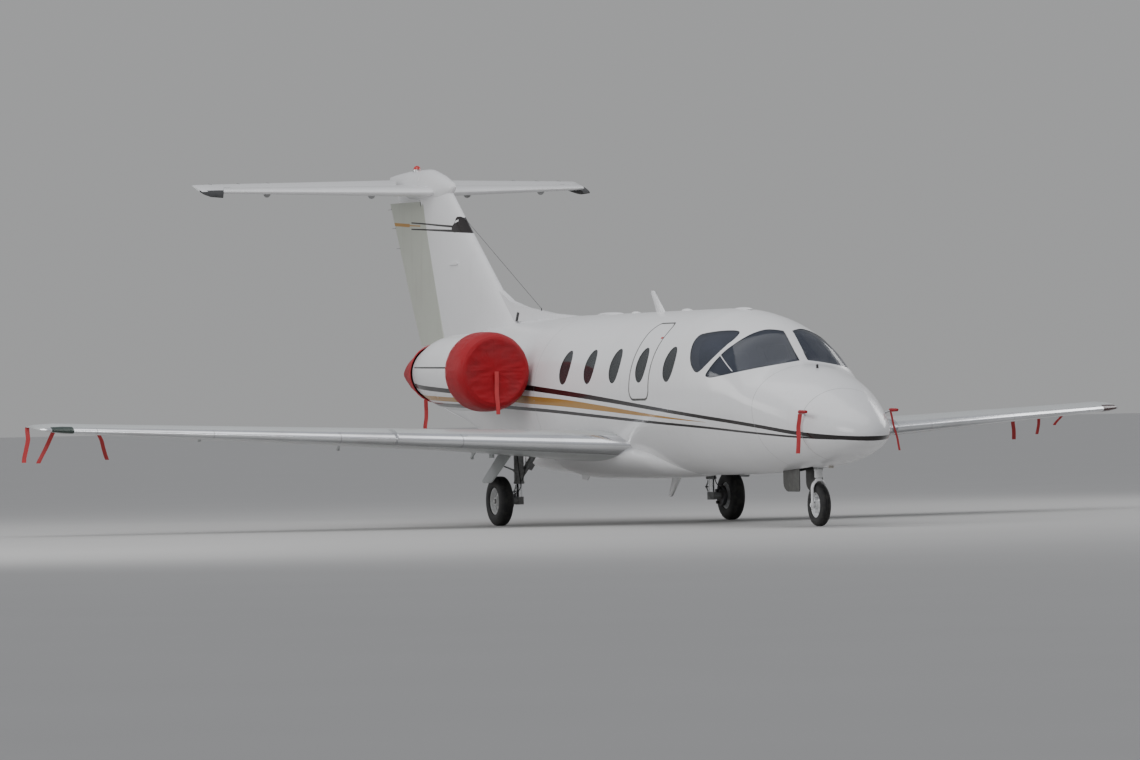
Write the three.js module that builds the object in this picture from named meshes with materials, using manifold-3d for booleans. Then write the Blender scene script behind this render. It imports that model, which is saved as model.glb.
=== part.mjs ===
// A light twin-jet business aircraft, parked on its landing gear.
// Millimetres. +X points to the nose, +Y to the port wing, +Z up; the origin is on the ground under the
// middle of the aircraft's length. The port side is built first and the starboard side is its mirror.
import * as THREE from "three";
import { mergeVertices } from "three/addons/utils/BufferGeometryUtils.js";
import Module from "manifold-3d";

const wasm = await Module();
wasm.setup();

// Gaps between touching solids, round an axle and round a moving surface, and a hinge pin's depth
const seatGap = 0.3;
const axleGap = 0.8;
const surfaceGap = 7;
const pinDepth = 60;
const farAway = 9000;

// Fuselage shell, one row per station from the nose tip to the tail end
const hullSides = 24;
const wall = 90;
const floorTop = 850;
const floorThickness = 20;
const hullColumns = ["x", "crown", "keel", "halfWidth", "widest"];
const hullStations = [
  [7375, 962, 958, 0, 960],
  [7352, 1032, 905, 85, 965],
  [7290, 1110, 868, 182, 975],
  [7180, 1195, 830, 272, 990],
  [7000, 1290, 765, 368, 1015],
  [6700, 1435, 700, 478, 1065],
  [6300, 1600, 648, 585, 1150],
  [5950, 1694, 622, 655, 1230],
  [5600, 1775, 602, 712, 1310],
  [5380, 1945, 588, 740, 1360],
  [5150, 2115, 578, 762, 1400],
  [4850, 2220, 568, 790, 1440],
  [4500, 2300, 560, 812, 1470],
  [4000, 2362, 552, 834, 1495],
  [3500, 2378, 548, 840, 1500],
  [-500, 2378, 560, 840, 1500],
  [-1500, 2370, 628, 800, 1510],
  [-2300, 2352, 740, 722, 1535],
  [-3200, 2312, 925, 598, 1575],
  [-4100, 2240, 1130, 452, 1625],
  [-5000, 2120, 1290, 300, 1680],
  [-5600, 2000, 1420, 180, 1715],
  [-5780, 1930, 1500, 110, 1715],
];
const noseConeEnd = 6620;
const frontBulkhead = 5750;
const aftBulkhead = -300;
const cabinAft = aftBulkhead + wall;
const tailEnd = -5780;
const tailHollowEnd = -5000;
const noseRings = [7352, 7290, 7180, 7000, 6800];
const bowRings = [6300, 5950];
const cockpitRings = [5600, 5490, 5380, 5265, 5150, 5000, 4850, 4500, 4000, 3500];
const tailRings = [-500, -1000, -1500, -2300, -3200, -4100, -5000, -5600];
const hollowRings = [5640, ...cockpitRings.slice(1)];

// Belly fairing under the wing centre section
const fairingColumns = ["x", "crown", "keel", "halfWidth", "widest"];
const fairingStations = [
  [2950, 700, 552, 300, 640],
  [2450, 900, 520, 640, 760],
  [1500, 1000, 508, 745, 800],
  [60, 1000, 508, 750, 800],
  [30, 1000, 552, 742, 800],
  [-900, 1000, 572, 700, 815],
  [-1700, 980, 640, 590, 850],
  [-2250, 960, 760, 400, 880],
];

// Windows: ovals on both sides at these stations, the starboard exit and the port door
const ovalWidth = 300;
const ovalHeight = 385;
const ovalCentre = 1775;
const ovalStations = [590, 1340, 2100];
const forwardOval = 3690;
const exitOval = 2890;
const paneRecess = 4;
const paneThickness = 20;
const paneShrink = 0.004;
const stripThickness = 6;
const stripHeight = 120;
const centrePost = 100;
const exitFrame = { aft: 2610, front: 3170, low: 1400, high: 2230, corner: 110 };
const doorFrame = { aft: 3100, front: 3800, low: 880, high: 2150, bevel: 60 };
const doorWindow = 3450;
const doorHinge = { x: 3812, y: 872, heights: [1180, 1850] };
const lugHeights = { shell: 30, door: 24 };
const shellLugPlan = [
  [-9, 9],
  [9, 9],
  [60, -50],
  [60, -200],
  [14, -200],
  [14, -34],
  [-9, -9],
];
const doorLugPlan = [
  [-9, 9],
  [9, 9],
  [9, -9],
  [-22, -34],
  [-22, -150],
  [-70, -150],
  [-70, -34],
];
const doorGap = 6;

// Cockpit glazing, outlines in the side plane for the quarter light
// and in an oblique plane for the wrap-round windshield
const glazingHeading = 68.5;
const windshieldOutline = [
  [2060, 2030],
  [1900, 2095],
  [1760, 2123],
  [1646, 2129],
  [1504, 2086],
  [1373, 2018],
  [1209, 1907],
  [1078, 1775],
  [1003, 1670],
  [986, 1632],
  [1030, 1615],
  [1094, 1622],
  [1304, 1665],
  [1517, 1705],
  [1786, 1747],
  [2090, 1794],
];
const quarterOutline = [
  [4092, 2020],
  [4106, 2074],
  [4150, 2095],
  [4340, 2116],
  [4560, 2126],
  [4735, 2124],
  [4825, 2108],
  [4868, 2072],
  [4876, 2020],
  [4796, 1892],
  [4665, 1776],
  [4555, 1703],
  [4480, 1677],
  [4410, 1688],
  [4292, 1752],
  [4195, 1848],
  [4125, 1945],
];

// Wing: one row per station from the root to the tip
const wingColumns = ["y", "lead", "trail", "height", "incidence", "thickness"];
const wingStations = [
  [450, 2234, -552, 877, 3.0, 0.13],
  [2350, 1416, -527, 973, 1.0, 0.125],
  [6440, -346, -1240, 1178, -3.4, 0.11],
  [6580, -440, -1244, 1188, -3.5, 0.08],
  [6625, -640, -1228, 1194, -3.5, 0.035],
];
const foilFractions = [0.012, 0.06, 0.18, 0.36, 0.62, 0.8];
const edgeFraction = 0.06;
const foilCamber = 0.018;
const trailingHalf = 2;
const fence = { y: 3040, thickness: 8, ahead: 70, above: 62, back: 620, below: 40 };
const jackPad = { y: 1750, x: 700, radius: 30, low: 775 };
const bracketShares = [0.18, 0.55, 0.93];
const bracketThickness = 16;
const noseJackPad = { x: 6260, radius: 28, proud: 22 };

// Hinge lines of the moving surfaces, inboard end first
const flapHinge = [
  [-75, 905, 715],
  [-712, 5040, 1068],
];
const flapNose = 58;
const trimHinge = { span: [5100, 5980], fractions: [0.8, 0.8], radii: [38, 33] };
const spoilerFractions = { front: 0.62, back: 0.72 };
const spoilerSpan = [2480, 4560];
const spoilerThickness = 16;
const spoilerPin = { back: 7, depth: 8, radius: 4 };
const elevatorHinge = { span: [262, 2160], fractions: [0.61, 0.57], radii: [53, 32] };
const elevatorRest = 11;
const hornRib = 62;
const rudderHinge = [
  [-5268, 0, 2150],
  [-5892, 0, 3810],
];
const rudderEnds = [2105, 3850];
const rudderRest = 8;
const rudderRadii = [68, 79];
const rudderBoss = 300;
// The gap over the rudder, in surface gaps: its top rises as it turns about the raked hinge
const rudderRise = 2.6;

// Tail surfaces
const finColumns = ["z", "lead", "trail", "thickness"];
const finStations = [
  [1900, -2350, -5846, 250],
  [2700, -3395, -6275, 235],
  [3450, -4410, -6655, 190],
  [4130, -5300, -7010, 135],
];
const dorsalOutline = [
  [-800, 2250],
  [-880, 2372],
  [-1730, 2418],
  [-2590, 2502],
  [-3100, 2592],
  [-3440, 2720],
  [-3900, 2400],
];
const dorsalThickness = 70;
const tailColumns = ["y", "lead", "trail", "height", "incidence", "thickness"];
const tailStations = [
  [0, -5340, -6690, 3945, -4.2, 0.1],
  [2330, -6645, -7328, 4020, -4.2, 0.095],
  [2460, -6735, -7360, 4024, -4.2, 0.08],
  [2500, -6860, -7383, 4026, -4.2, 0.04],
];
const bulletColumns = ["x", "crown", "keel", "halfWidth", "widest"];
const bulletStations = [
  [-4960, 4004, 3996, 0, 4000],
  [-5080, 4075, 3915, 62, 3995],
  [-5350, 4160, 3850, 105, 4000],
  [-5800, 4238, 3850, 122, 4020],
  [-6300, 4236, 3880, 112, 4040],
  [-6800, 4215, 3990, 70, 4095],
  [-7130, 4190, 4100, 24, 4145],
];
const strakeThickness = 36;
const strakeOutline = [
  [-3850, 1180],
  [-4060, 1085],
  [-5230, 1300],
  [-5640, 1410],
  [-5640, 1560],
];

// Engines: profiles are x and radius about the nacelle axis
const engineAxis = { y: 1285, z: 1752 };
const nacelleSides = 20;
const nacelleOutside = [
  [-430, 330],
  [-446, 354],
  [-560, 402],
  [-800, 436],
  [-1200, 442],
  [-1700, 420],
  [-2150, 330],
  [-2420, 262],
  [-2700, 205],
];
const nacelleInside = [
  [-2700, 188],
  [-2300, 215],
  [-1800, 300.3],
  [-930, 300.3],
  [-860, 282],
  [-480, 298],
];
const engineBlock = { front: -950, back: -1780, radius: 300 };
const intakeCover = [
  [-772, 0],
  [-772, 455],
  [-560, 454],
  [-430, 442],
  [-352, 408],
  [-326, 368],
  [-340, 300],
  [-362, 0],
];
const exhaustCover = [
  [-2235, 0],
  [-2235, 336],
  [-2480, 280],
  [-2760, 205],
  [-3010, 128],
  [-3090, 92],
  [-3112, 0],
];
const pylonOutline = [
  [-785, 1752],
  [-900, 1806],
  [-1300, 1826],
  [-1900, 1806],
  [-2222, 1752],
  [-1900, 1698],
  [-1300, 1678],
  [-900, 1698],
];

// Landing gear
const mainWheel = { x: 60, y: 1420, radius: 280, width: 160, rim: 152, bore: 28 };
const mainStrut = { y: 1180, radius: 56, piston: 34, top: 850, join: 470 };
const brake = { radius: 118, inner: 1286, outer: 1332 };
const sideBrace = { low: 505, inner: 930, high: 860, radius: 22 };
const gearDoor = { back: -140, front: 270, top: [1318, 830], low: [1582, 488], thickness: 14 };
const noseWheel = { x: 5920, radius: 228.5, width: 112, rim: 134, bore: 16 };
const noseStrut = { radius: 46, trunnion: 738, join: 520, piston: 34 };
const fork = { legInner: 66, legOuter: 88, half: 34, crownLow: 474, crownHigh: 506, crownHalf: 38 };
const axleEnd = 70;
const torqueOutline = [
  [20, 455],
  [-60, 452],
  [-118, 384],
  [-60, 312],
  [20, 316],
  [20, 338],
  [-50, 336],
  [-92, 384],
  [-50, 430],
  [20, 432],
];
const torqueHalf = 22;
const noseBay = { front: 6050, back: 5250, half: 125, roof: 800 };
const noseDoor = { front: 5715, back: 5275, high: 660, low: 372, inner: 128, outer: 138 };
const wheelSegments = 20;

// Cabin: seats as x and y of the middle, facing, width, depth, cushion height and back height
const floorSpan = [cabinAft + seatGap, 5230];
const seatColumns = ["x", "y", "facing", "width", "depth", "base", "back", "lift"];
const seatRows = [
  [2480, 385, -1, 450, 500, 400, 1020, -5],
  [1180, 385, 1, 450, 500, 400, 1020, -5],
  [330, 385, 1, 450, 500, 400, 1020, -5],
];
const pilotSeat = [4420, 325, 1, 440, 500, 410, 1090, seatGap];
const panel = { x: 5400, half: 640 };

// Materials
const paint = { color: 0xf2f2f0, roughness: 0.25, metalness: 0 };
const finish = {
  whitePaint: new THREE.MeshStandardMaterial(paint),
  greyPaint: new THREE.MeshStandardMaterial({ color: 0xb9bcb8, roughness: 0.45, metalness: 0 }),
  polishedMetal: new THREE.MeshStandardMaterial({ color: 0xcfd2d4, roughness: 0.18, metalness: 1 }),
  gearSteel: new THREE.MeshStandardMaterial({ color: 0xa6a8a9, roughness: 0.4, metalness: 0.8 }),
  darkMetal: new THREE.MeshStandardMaterial({ color: 0x4b4d50, roughness: 0.5, metalness: 0.9 }),
  rimPaint: new THREE.MeshStandardMaterial({ color: 0xd8d9d8, roughness: 0.4, metalness: 0.2 }),
  tyreRubber: new THREE.MeshStandardMaterial({ color: 0x1b1b1c, roughness: 0.85, metalness: 0 }),
  redVinyl: new THREE.MeshStandardMaterial({ color: 0xc8191f, roughness: 0.55, metalness: 0 }),
  cabinGlass: new THREE.MeshStandardMaterial({
    color: 0x5c6870, roughness: 0.05, metalness: 0, transparent: true, opacity: 0.45,
  }),
  seatLeather: new THREE.MeshStandardMaterial({ color: 0xb6a78f, roughness: 0.6, metalness: 0 }),
  carpet: new THREE.MeshStandardMaterial({ color: 0x77706a, roughness: 0.95, metalness: 0 }),
  panelBlack: new THREE.MeshStandardMaterial({ color: 0x1d1e20, roughness: 0.6, metalness: 0 }),
};

// Vectors and solids

const vec = (x, y, z) => new THREE.Vector3(x, y, z);
const axisX = vec(1, 0, 0);
const axisY = vec(0, 1, 0);
const axisZ = vec(0, 0, 1);

function solidFrom(positions, triangles) {
  const make = (triVerts) =>
    new wasm.Manifold(new wasm.Mesh({ numProp: 3, vertProperties: positions, triVerts }));
  const solid = make(triangles);
  if (solid.volume() >= 0) return solid;
  const turned = new Uint32Array(triangles);
  for (let i = 0; i < turned.length; i += 3) {
    turned[i + 1] = triangles[i + 2];
    turned[i + 2] = triangles[i + 1];
  }
  return make(turned);
}

function solidOf(geometry) {
  const bare = new THREE.BufferGeometry();
  const source = geometry.index ? geometry.toNonIndexed() : geometry;
  bare.setAttribute("position", source.getAttribute("position").clone());
  const merged = mergeVertices(bare, 1e-3);
  return solidFrom(merged.attributes.position.array, new Uint32Array(merged.index.array));
}

// The same solid with each vertex sent through a function
function reshaped(solid, move) {
  const data = solid.getMesh();
  const positions = new Float32Array(data.numVert * 3);
  for (let i = 0; i < data.numVert; i++) {
    const at = i * data.numProp;
    const point = vec(...data.vertProperties.subarray(at, at + 3));
    move(point).toArray(positions, i * 3);
  }
  return solidFrom(positions, new Uint32Array(data.triVerts));
}

const mirrored = (solid) => reshaped(solid, (p) => vec(p.x, -p.y, p.z));

function turned(solid, { start, along }, degrees) {
  const spin = new THREE.Quaternion().setFromAxisAngle(along, THREE.MathUtils.degToRad(degrees));
  return reshaped(solid, (p) => p.clone().sub(start).applyQuaternion(spin).add(start));
}

const joined = (solids) => solids.reduce((a, b) => a.add(b));
const cut = (solid, cutters) => cutters.reduce((a, b) => a.subtract(b), solid);

// A closed skin through rings of points; a ring of one point closes to a tip.
// The diagonals of the second half of each ring mirror those of the first.
function loft(rings) {
  const points = [];
  const triangles = [];
  const starts = rings.map((ring) => {
    points.push(...ring);
    return points.length - ring.length;
  });
  const count = Math.max(...rings.map((ring) => ring.length));
  const at = (ring, i) => starts[ring] + (rings[ring].length === 1 ? 0 : i % count);
  for (let r = 0; r + 1 < rings.length; r++) {
    for (let i = 0; i < count; i++) {
      const [a, b, c, d] = [at(r, i), at(r, i + 1), at(r + 1, i + 1), at(r + 1, i)];
      const split = i < count / 2 ? [a, b, c, a, c, d] : [a, b, d, b, c, d];
      if (a === b) triangles.push(a, c, d);
      else if (c === d) triangles.push(a, b, c);
      else triangles.push(...split);
    }
  }
  const cap = (ring, flip) => {
    if (rings[ring].length === 1) return;
    const middle = vec(0, 0, 0);
    rings[ring].forEach((p) => middle.addScaledVector(p, 1 / count));
    points.push(middle);
    for (let i = 0; i < count; i++) {
      const pair = [at(ring, i), at(ring, i + 1)];
      triangles.push(points.length - 1, ...(flip ? pair.reverse() : pair));
    }
  };
  cap(0, true);
  cap(rings.length - 1, false);
  const positions = new Float32Array(points.flatMap((p) => p.toArray()));
  return solidFrom(positions, new Uint32Array(triangles));
}

function box(low, high) {
  const size = high.clone().sub(low);
  const shape = new THREE.BoxGeometry(size.x, size.y, size.z);
  return solidOf(shape.translate(...low.clone().add(high).multiplyScalar(0.5).toArray()));
}

function rod(start, end, radius, segments = 12, endRadius = radius) {
  const along = end.clone().sub(start);
  const shape = new THREE.CylinderGeometry(endRadius, radius, along.length(), segments);
  const turn = new THREE.Quaternion().setFromUnitVectors(axisY, along.clone().normalize());
  const middle = start.clone().add(end).multiplyScalar(0.5);
  return solidOf(shape.applyQuaternion(turn).translate(...middle.toArray()));
}

// An outline in the plane of two axes, extruded along their cross product
function plate(outline, across, up, base, from, depth) {
  const shape = new THREE.Shape(outline.map(([a, b]) => new THREE.Vector2(a, b)));
  const solid = new THREE.ExtrudeGeometry(shape, { depth, bevelEnabled: false, curveSegments: 6 });
  const normal = across.clone().cross(up);
  const place = new THREE.Matrix4().makeBasis(across, up, normal);
  place.setPosition(base.clone().addScaledVector(normal, from));
  return solidOf(solid.applyMatrix4(place));
}

// A side-plane outline in x and z, between two values of y
const sidePlate = (outline, low, high) =>
  plate(outline, axisX, axisZ, vec(0, 0, 0), -high, high - low);

function ovalOutline(x, z, width, height, count = 16) {
  return Array.from({ length: count }, (_, i) => {
    const a = (2 * Math.PI * i) / count;
    return [x + (width / 2) * Math.cos(a), z + (height / 2) * Math.sin(a)];
  });
}

function roundedOutline({ aft, front, low, high, corner }, grow = 0, steps = 3) {
  const centres = [
    [front - corner, high - corner, 0],
    [aft + corner, high - corner, 90],
    [aft + corner, low + corner, 180],
    [front - corner, low + corner, 270],
  ];
  return centres.flatMap(([x, z, start]) =>
    Array.from({ length: steps + 1 }, (_, i) => {
      const a = THREE.MathUtils.degToRad(start + (90 * i) / steps);
      return [x + (corner + grow) * Math.cos(a), z + (corner + grow) * Math.sin(a)];
    }),
  );
}

// Values along a table of stations, with slopes limited so that the curve never overshoots
function sampler(columns, rows) {
  const order = rows[0][0] < rows[1][0] ? 1 : -1;
  const keys = rows.map((row) => row[0] * order);
  const slope = (i, c) => (rows[i + 1][c] - rows[i][c]) / (keys[i + 1] - keys[i]);
  const tangent = (i, c) => {
    if (i === 0) return slope(0, c);
    if (i === rows.length - 1) return slope(rows.length - 2, c);
    const [a, b] = [slope(i - 1, c), slope(i, c)];
    return a * b <= 0 ? 0 : (2 * a * b) / (a + b);
  };
  return (value) => {
    const key = Math.min(Math.max(value * order, keys[0]), keys[keys.length - 1]);
    const i = Math.min(Math.max(keys.findIndex((k) => k >= key) - 1, 0), rows.length - 2);
    const span = keys[i + 1] - keys[i];
    const t = (key - keys[i]) / span;
    const found = {};
    columns.forEach((name, c) => {
      const [p, q] = [rows[i][c], rows[i + 1][c]];
      const [m, n] = [tangent(i, c) * span, tangent(i + 1, c) * span];
      const rest = (3 * t * t - 2 * t * t * t) * (q - p);
      found[name] = p + rest + (t - 2 * t * t + t * t * t) * m + (t * t * t - t * t) * n;
    });
    found[columns[0]] = value;
    return found;
  };
}

// Turned shapes: a profile of x and radius about the engine axis, or of y and radius about an axle
function nacelleShape(profile, grow = 0) {
  const lathe = new THREE.LatheGeometry(
    profile.map(([x, r]) => new THREE.Vector2(r === 0 ? 0 : r + grow, x)),
    nacelleSides,
  );
  return solidOf(lathe.rotateZ(-Math.PI / 2).translate(0, engineAxis.y, engineAxis.z));
}

function wheelShape(profile, x, y, z) {
  const points = profile.map(([offset, r]) => new THREE.Vector2(r, offset));
  return solidOf(new THREE.LatheGeometry(points, wheelSegments).translate(x, y, z));
}

// Body sections: two half ellipses that meet at the widest line

function bodyRing(at, x, inset = 0, count = hullSides) {
  const s = at(x);
  if (s.halfWidth <= 1) return [vec(x, 0, s.widest)];
  return Array.from({ length: count }, (_, i) => {
    const a = (2 * Math.PI * i) / count;
    const tall = Math.cos(a) > 0 ? s.crown - s.widest : s.widest - s.keel;
    return vec(x, (s.halfWidth - inset) * Math.sin(a), s.widest + (tall - inset) * Math.cos(a));
  });
}

const hullAt = sampler(hullColumns, hullStations);
const fairingAt = sampler(fairingColumns, fairingStations);
const bulletAt = sampler(bulletColumns, bulletStations);
const hull = (stations, inset = 0) => loft(stations.map((x) => bodyRing(hullAt, x, inset)));
const hullEdges = [7375, ...noseRings, noseConeEnd, ...bowRings, frontBulkhead];
const wholeHull = hull([...hullEdges, ...cockpitRings, aftBulkhead, ...tailRings, tailEnd], -seatGap);
const fairingRings = fairingStations.map((row) => row[0]);
const fairingBody = (inset) => loft(fairingRings.map((x) => bodyRing(fairingAt, x, inset, 24)));

// A layer of the cabin wall between two depths under the skin
const cabinRings = [frontBulkhead, ...cockpitRings, aftBulkhead];
const cabinInside = (depth) => hull([frontBulkhead + 20, ...hollowRings, aftBulkhead - 20], depth);
const wallLayer = (outer, inner) => hull(cabinRings, outer).subtract(cabinInside(inner));

// Wing and tail sections

function foilHalf(f) {
  const root = 0.2969 * Math.sqrt(f);
  return 5 * (root - 0.126 * f - 0.3516 * f ** 2 + 0.2843 * f ** 3 - 0.1036 * f ** 4);
}

// One section between two chord fractions, upper side first
function foilRing(s, from, to, camber, grow) {
  const chord = s.lead - s.trail;
  const tilt = THREE.MathUtils.degToRad(s.incidence);
  const inner = foilFractions.filter((f) => f > from + 1e-4 && f < to - 1e-4);
  const fractions = [from, ...inner, to];
  const point = (f, side) => {
    const half = foilHalf(f) * s.thickness * chord + trailingHalf * f + grow;
    const lift = camber * 4 * f * (1 - f) * chord + side * half;
    const back = f * chord;
    const dx = -back * Math.cos(tilt) + lift * Math.sin(tilt) * -1;
    return vec(s.lead + dx, s.y, s.height - back * Math.sin(tilt) + lift * Math.cos(tilt));
  };
  const upper = fractions.map((f) => point(f, 1)).reverse();
  const lower = fractions.map((f) => point(f, -1));
  return [...upper, ...(from === 0 && grow === 0 ? lower.slice(1) : lower)];
}

const rowsOf = (columns, rows) =>
  rows.map((row) => Object.fromEntries(columns.map((name, i) => [name, row[i]])));
const wingRows = rowsOf(wingColumns, wingStations);
function wingLoft(from, to, grow = 0) {
  return loft(wingRows.map((s) => foilRing(s, from, to, foilCamber, grow)));
}

// The rows on each side of a span position, and the share of the way between them
function rowsAround(rows, y) {
  const i = Math.max(Math.min(rows.filter((row) => row.y < y).length, rows.length - 1), 1);
  const [low, high] = [rows[i - 1], rows[i]];
  return { low, high, share: (y - low.y) / (high.y - low.y) };
}

// Leading edge height and station at a span position
function leadAt(rows, y) {
  const { low, high, share } = rowsAround(rows, y);
  const between = (name) => low[name] + share * (high[name] - low[name]);
  return { lead: between("lead"), height: between("height") };
}

// Upper and lower skin points at a chord fraction, straight between the rows, and their middle
function skinPoints(rows, y, fraction, camber = foilCamber) {
  const { low, high, share } = rowsAround(rows, y);
  const [inner, outer] = [low, high].map((row) => foilRing(row, fraction, 1, camber, 0));
  const middle = inner.length / 2;
  const [upper, lower] = [middle - 1, middle].map((i) => inner[i].clone().lerp(outer[i], share));
  return { upper, lower, middle: upper.clone().lerp(lower, 0.5) };
}

function hingePoints(rows, { span, fractions }, camber = foilCamber) {
  return span.map((y, i) => skinPoints(rows, y, fractions[i], camber).middle);
}

// Hinge frame: along the hinge, aft of it and above it
function hingeFrame([start, end]) {
  const along = end.clone().sub(start).normalize();
  const above = axisZ.clone().addScaledVector(along, -along.z).normalize();
  if (Math.abs(along.z) > 0.8) above.copy(axisY);
  const aft = above.clone().cross(along).normalize();
  if (aft.x > 0) aft.negate();
  return { start, end, along, aft, above, length: end.distanceTo(start) };
}

// A block in a hinge frame, between two distances along the hinge
function hingeBlock(frame, { ahead, behind = 2500, reach = 1500, from = 0, to = frame.length }) {
  const { start, along, aft, above } = frame;
  const outline = [
    [-ahead, -reach],
    [behind, -reach],
    [behind, reach],
    [-ahead, reach],
  ];
  const forwards = aft.clone().cross(above).dot(along) > 0;
  return plate(outline, aft, above, start, forwards ? from : -to, to - from);
}

// Splits a moving surface with a round nose off its parent, and leaves a pin on the hinge line at each end.
// Where the surface runs past its hinge ends, the parent keeps a boss there, round the hinge line.
function splitSurface(parent, frame, radii, { region, bossDepth = 0 } = {}) {
  const place = (distance) => frame.start.clone().addScaledVector(frame.along, distance);
  const block = (grow) =>
    hingeBlock(frame, { ahead: 0, from: surfaceGap - grow, to: frame.length - surfaceGap + grow });
  const aftPart = region ?? block;
  const nose = rod(place(surfaceGap), place(frame.length - surfaceGap), radii[0], 12, radii[1]);
  const hollow = rod(frame.start, frame.end, radii[0] + surfaceGap, 12, radii[1] + surfaceGap);
  const boss = (grow) =>
    rod(place(-bossDepth - grow), place(grow), radii[0] + grow).add(
      rod(place(frame.length - grow), place(frame.length + bossDepth + grow), radii[1] + grow),
    );
  const withBoss = bossDepth > 0;
  const aft = parent.intersect(aftPart(0));
  const moving = (withBoss ? aft.subtract(boss(surfaceGap)) : aft).add(nose);
  const cleared = aftPart(surfaceGap);
  let fixed = cut(parent, [withBoss ? cleared.subtract(boss(0)) : cleared, hollow]);
  const reach = surfaceGap - seatGap;
  const ends = [
    [place(-pinDepth), place(reach)],
    [place(frame.length + pinDepth), place(frame.length - reach)],
  ];
  for (const [from, to] of ends) {
    fixed = fixed.add(rod(from, to, Math.min(...radii) * 0.45, 8));
  }
  return { moving, fixed };
}

const group = new THREE.Group();

function addMesh(name, solid, material) {
  const data = solid.getMesh();
  const positions = new Float32Array(data.numVert * 3);
  for (let i = 0; i < data.numVert; i++) {
    positions.set(data.vertProperties.subarray(i * data.numProp, i * data.numProp + 3), i * 3);
  }
  const geometry = new THREE.BufferGeometry();
  geometry.setAttribute("position", new THREE.BufferAttribute(positions, 3));
  geometry.setIndex(new THREE.BufferAttribute(new Uint32Array(data.triVerts), 1));
  geometry.computeVertexNormals();
  const mesh = new THREE.Mesh(geometry, material);
  mesh.name = name;
  group.add(mesh);
}

function addPair(name, solid, material) {
  addMesh(name + "_left", solid, material);
  addMesh(name + "_right", mirrored(solid), material);
}

// Fuselage

// An outline drawn in towards its middle by a share
function drawnIn(outline, share) {
  const middle = [0, 1].map((k) => outline.reduce((sum, p) => sum + p[k], 0) / outline.length);
  return outline.map((p) => p.map((v, k) => v + (middle[k] - v) * share));
}

// The windshield is cut along level lines at the glazing heading, up to the centre post
function windshieldCutter(shrink = 0) {
  const a = THREE.MathUtils.degToRad(glazingHeading);
  const across = vec(Math.cos(a), Math.sin(a), 0);
  const outline = drawnIn(windshieldOutline, shrink);
  const cutter = plate(outline, across, axisZ, vec(0, 0, 0), -6000, 12000);
  const post = centrePost / 2 + 300 * shrink;
  return cutter.intersect(box(vec(3500, -2000, 1400), vec(6200, -post, 2400)));
}

const quarterCutter = (shrink = 0) => sidePlate(drawnIn(quarterOutline, shrink), -2000, -200);
const exitCutter = (grow) => sidePlate(roundedOutline(exitFrame, grow), -2000, -200);
const ovalCutter = (x, grow = 0, low = -2000, high = 2000) =>
  sidePlate(ovalOutline(x, ovalCentre, ovalWidth + 2 * grow, ovalHeight + 2 * grow), low, high);
const starboardOval = (x, grow = 0) => ovalCutter(x, grow, -2000, -200);
const portOval = (x, grow = 0) => ovalCutter(x, grow, 200, 2000);

const noseBayBox = box(
  vec(noseBay.back, -noseBay.half, 300),
  vec(noseBay.front, noseBay.half, noseBay.roof),
);
const floorBase = vec(-farAway, -farAway, floorTop - floorThickness);
const aboveFloor = box(floorBase, vec(farAway, farAway, farAway));
const cabinHollow = hull([frontBulkhead + 20, ...hollowRings, cabinAft], wall).intersect(aboveFloor);

// The door's aft edge slopes through the wall, so that it clears its jamb as it swings
function doorSector(gap) {
  const { aft, front, low, high, bevel } = doorFrame;
  const plan = [
    [aft - gap, 1000],
    [aft - gap, 860],
    [aft + bevel - gap, 560],
    [aft + bevel - gap, 300],
    [front + gap, 300],
    [front + gap, 1000],
  ];
  return plate(plan, axisX, axisY, vec(0, 0, 0), low - gap, high - low + 2 * gap);
}

function hingePlate(plan, from, thickness) {
  const placed = plan.map(([x, y]) => [doorHinge.x + x, doorHinge.y + y]);
  return plate(placed, axisX, axisY, vec(0, 0, 0), from, thickness);
}
const shellLugs = doorHinge.heights.map((z) => hingePlate(shellLugPlan, z, lugHeights.shell));
const doorLugBase = lugHeights.shell + seatGap;
const doorLugs = doorHinge.heights.map((z) =>
  hingePlate(doorLugPlan, z + doorLugBase, lugHeights.door),
);

const cabinWall = cut(hull(cabinRings), [
  cabinHollow,
  noseBayBox,
  doorSector(doorGap),
  exitCutter(seatGap),
  windshieldCutter(),
  mirrored(windshieldCutter()),
  quarterCutter(),
  mirrored(quarterCutter()),
  ...ovalStations.map((x) => ovalCutter(x)),
  portOval(exitOval),
  starboardOval(forwardOval),
]);
const cabinShell = cabinWall.add(joined(shellLugs).subtract(cabinHollow));
const nosePad = rod(
  vec(noseJackPad.x, 0, 760),
  vec(noseJackPad.x, 0, hullAt(noseJackPad.x).keel - noseJackPad.proud),
  noseJackPad.radius,
);
const noseHull = hull([noseConeEnd, ...bowRings, frontBulkhead + seatGap]);
const noseSection = noseHull.subtract(noseBayBox).add(nosePad);
const strake = sidePlate(strakeOutline, -strakeThickness / 2, strakeThickness / 2);
const tailHollow = hull([aftBulkhead, ...tailRings.filter((x) => x >= tailHollowEnd)], wall);
const tailCone = hull([aftBulkhead - seatGap, ...tailRings, tailEnd]).subtract(tailHollow).add(strake);
const wallPanel = wallLayer(0, wall);
const doorPanel = wallPanel.intersect(doorSector(0)).subtract(portOval(doorWindow));
const door = doorPanel.add(joined(doorLugs).subtract(cabinHollow));
const exitHatch = wallPanel.intersect(exitCutter(0)).subtract(starboardOval(exitOval));

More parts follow.
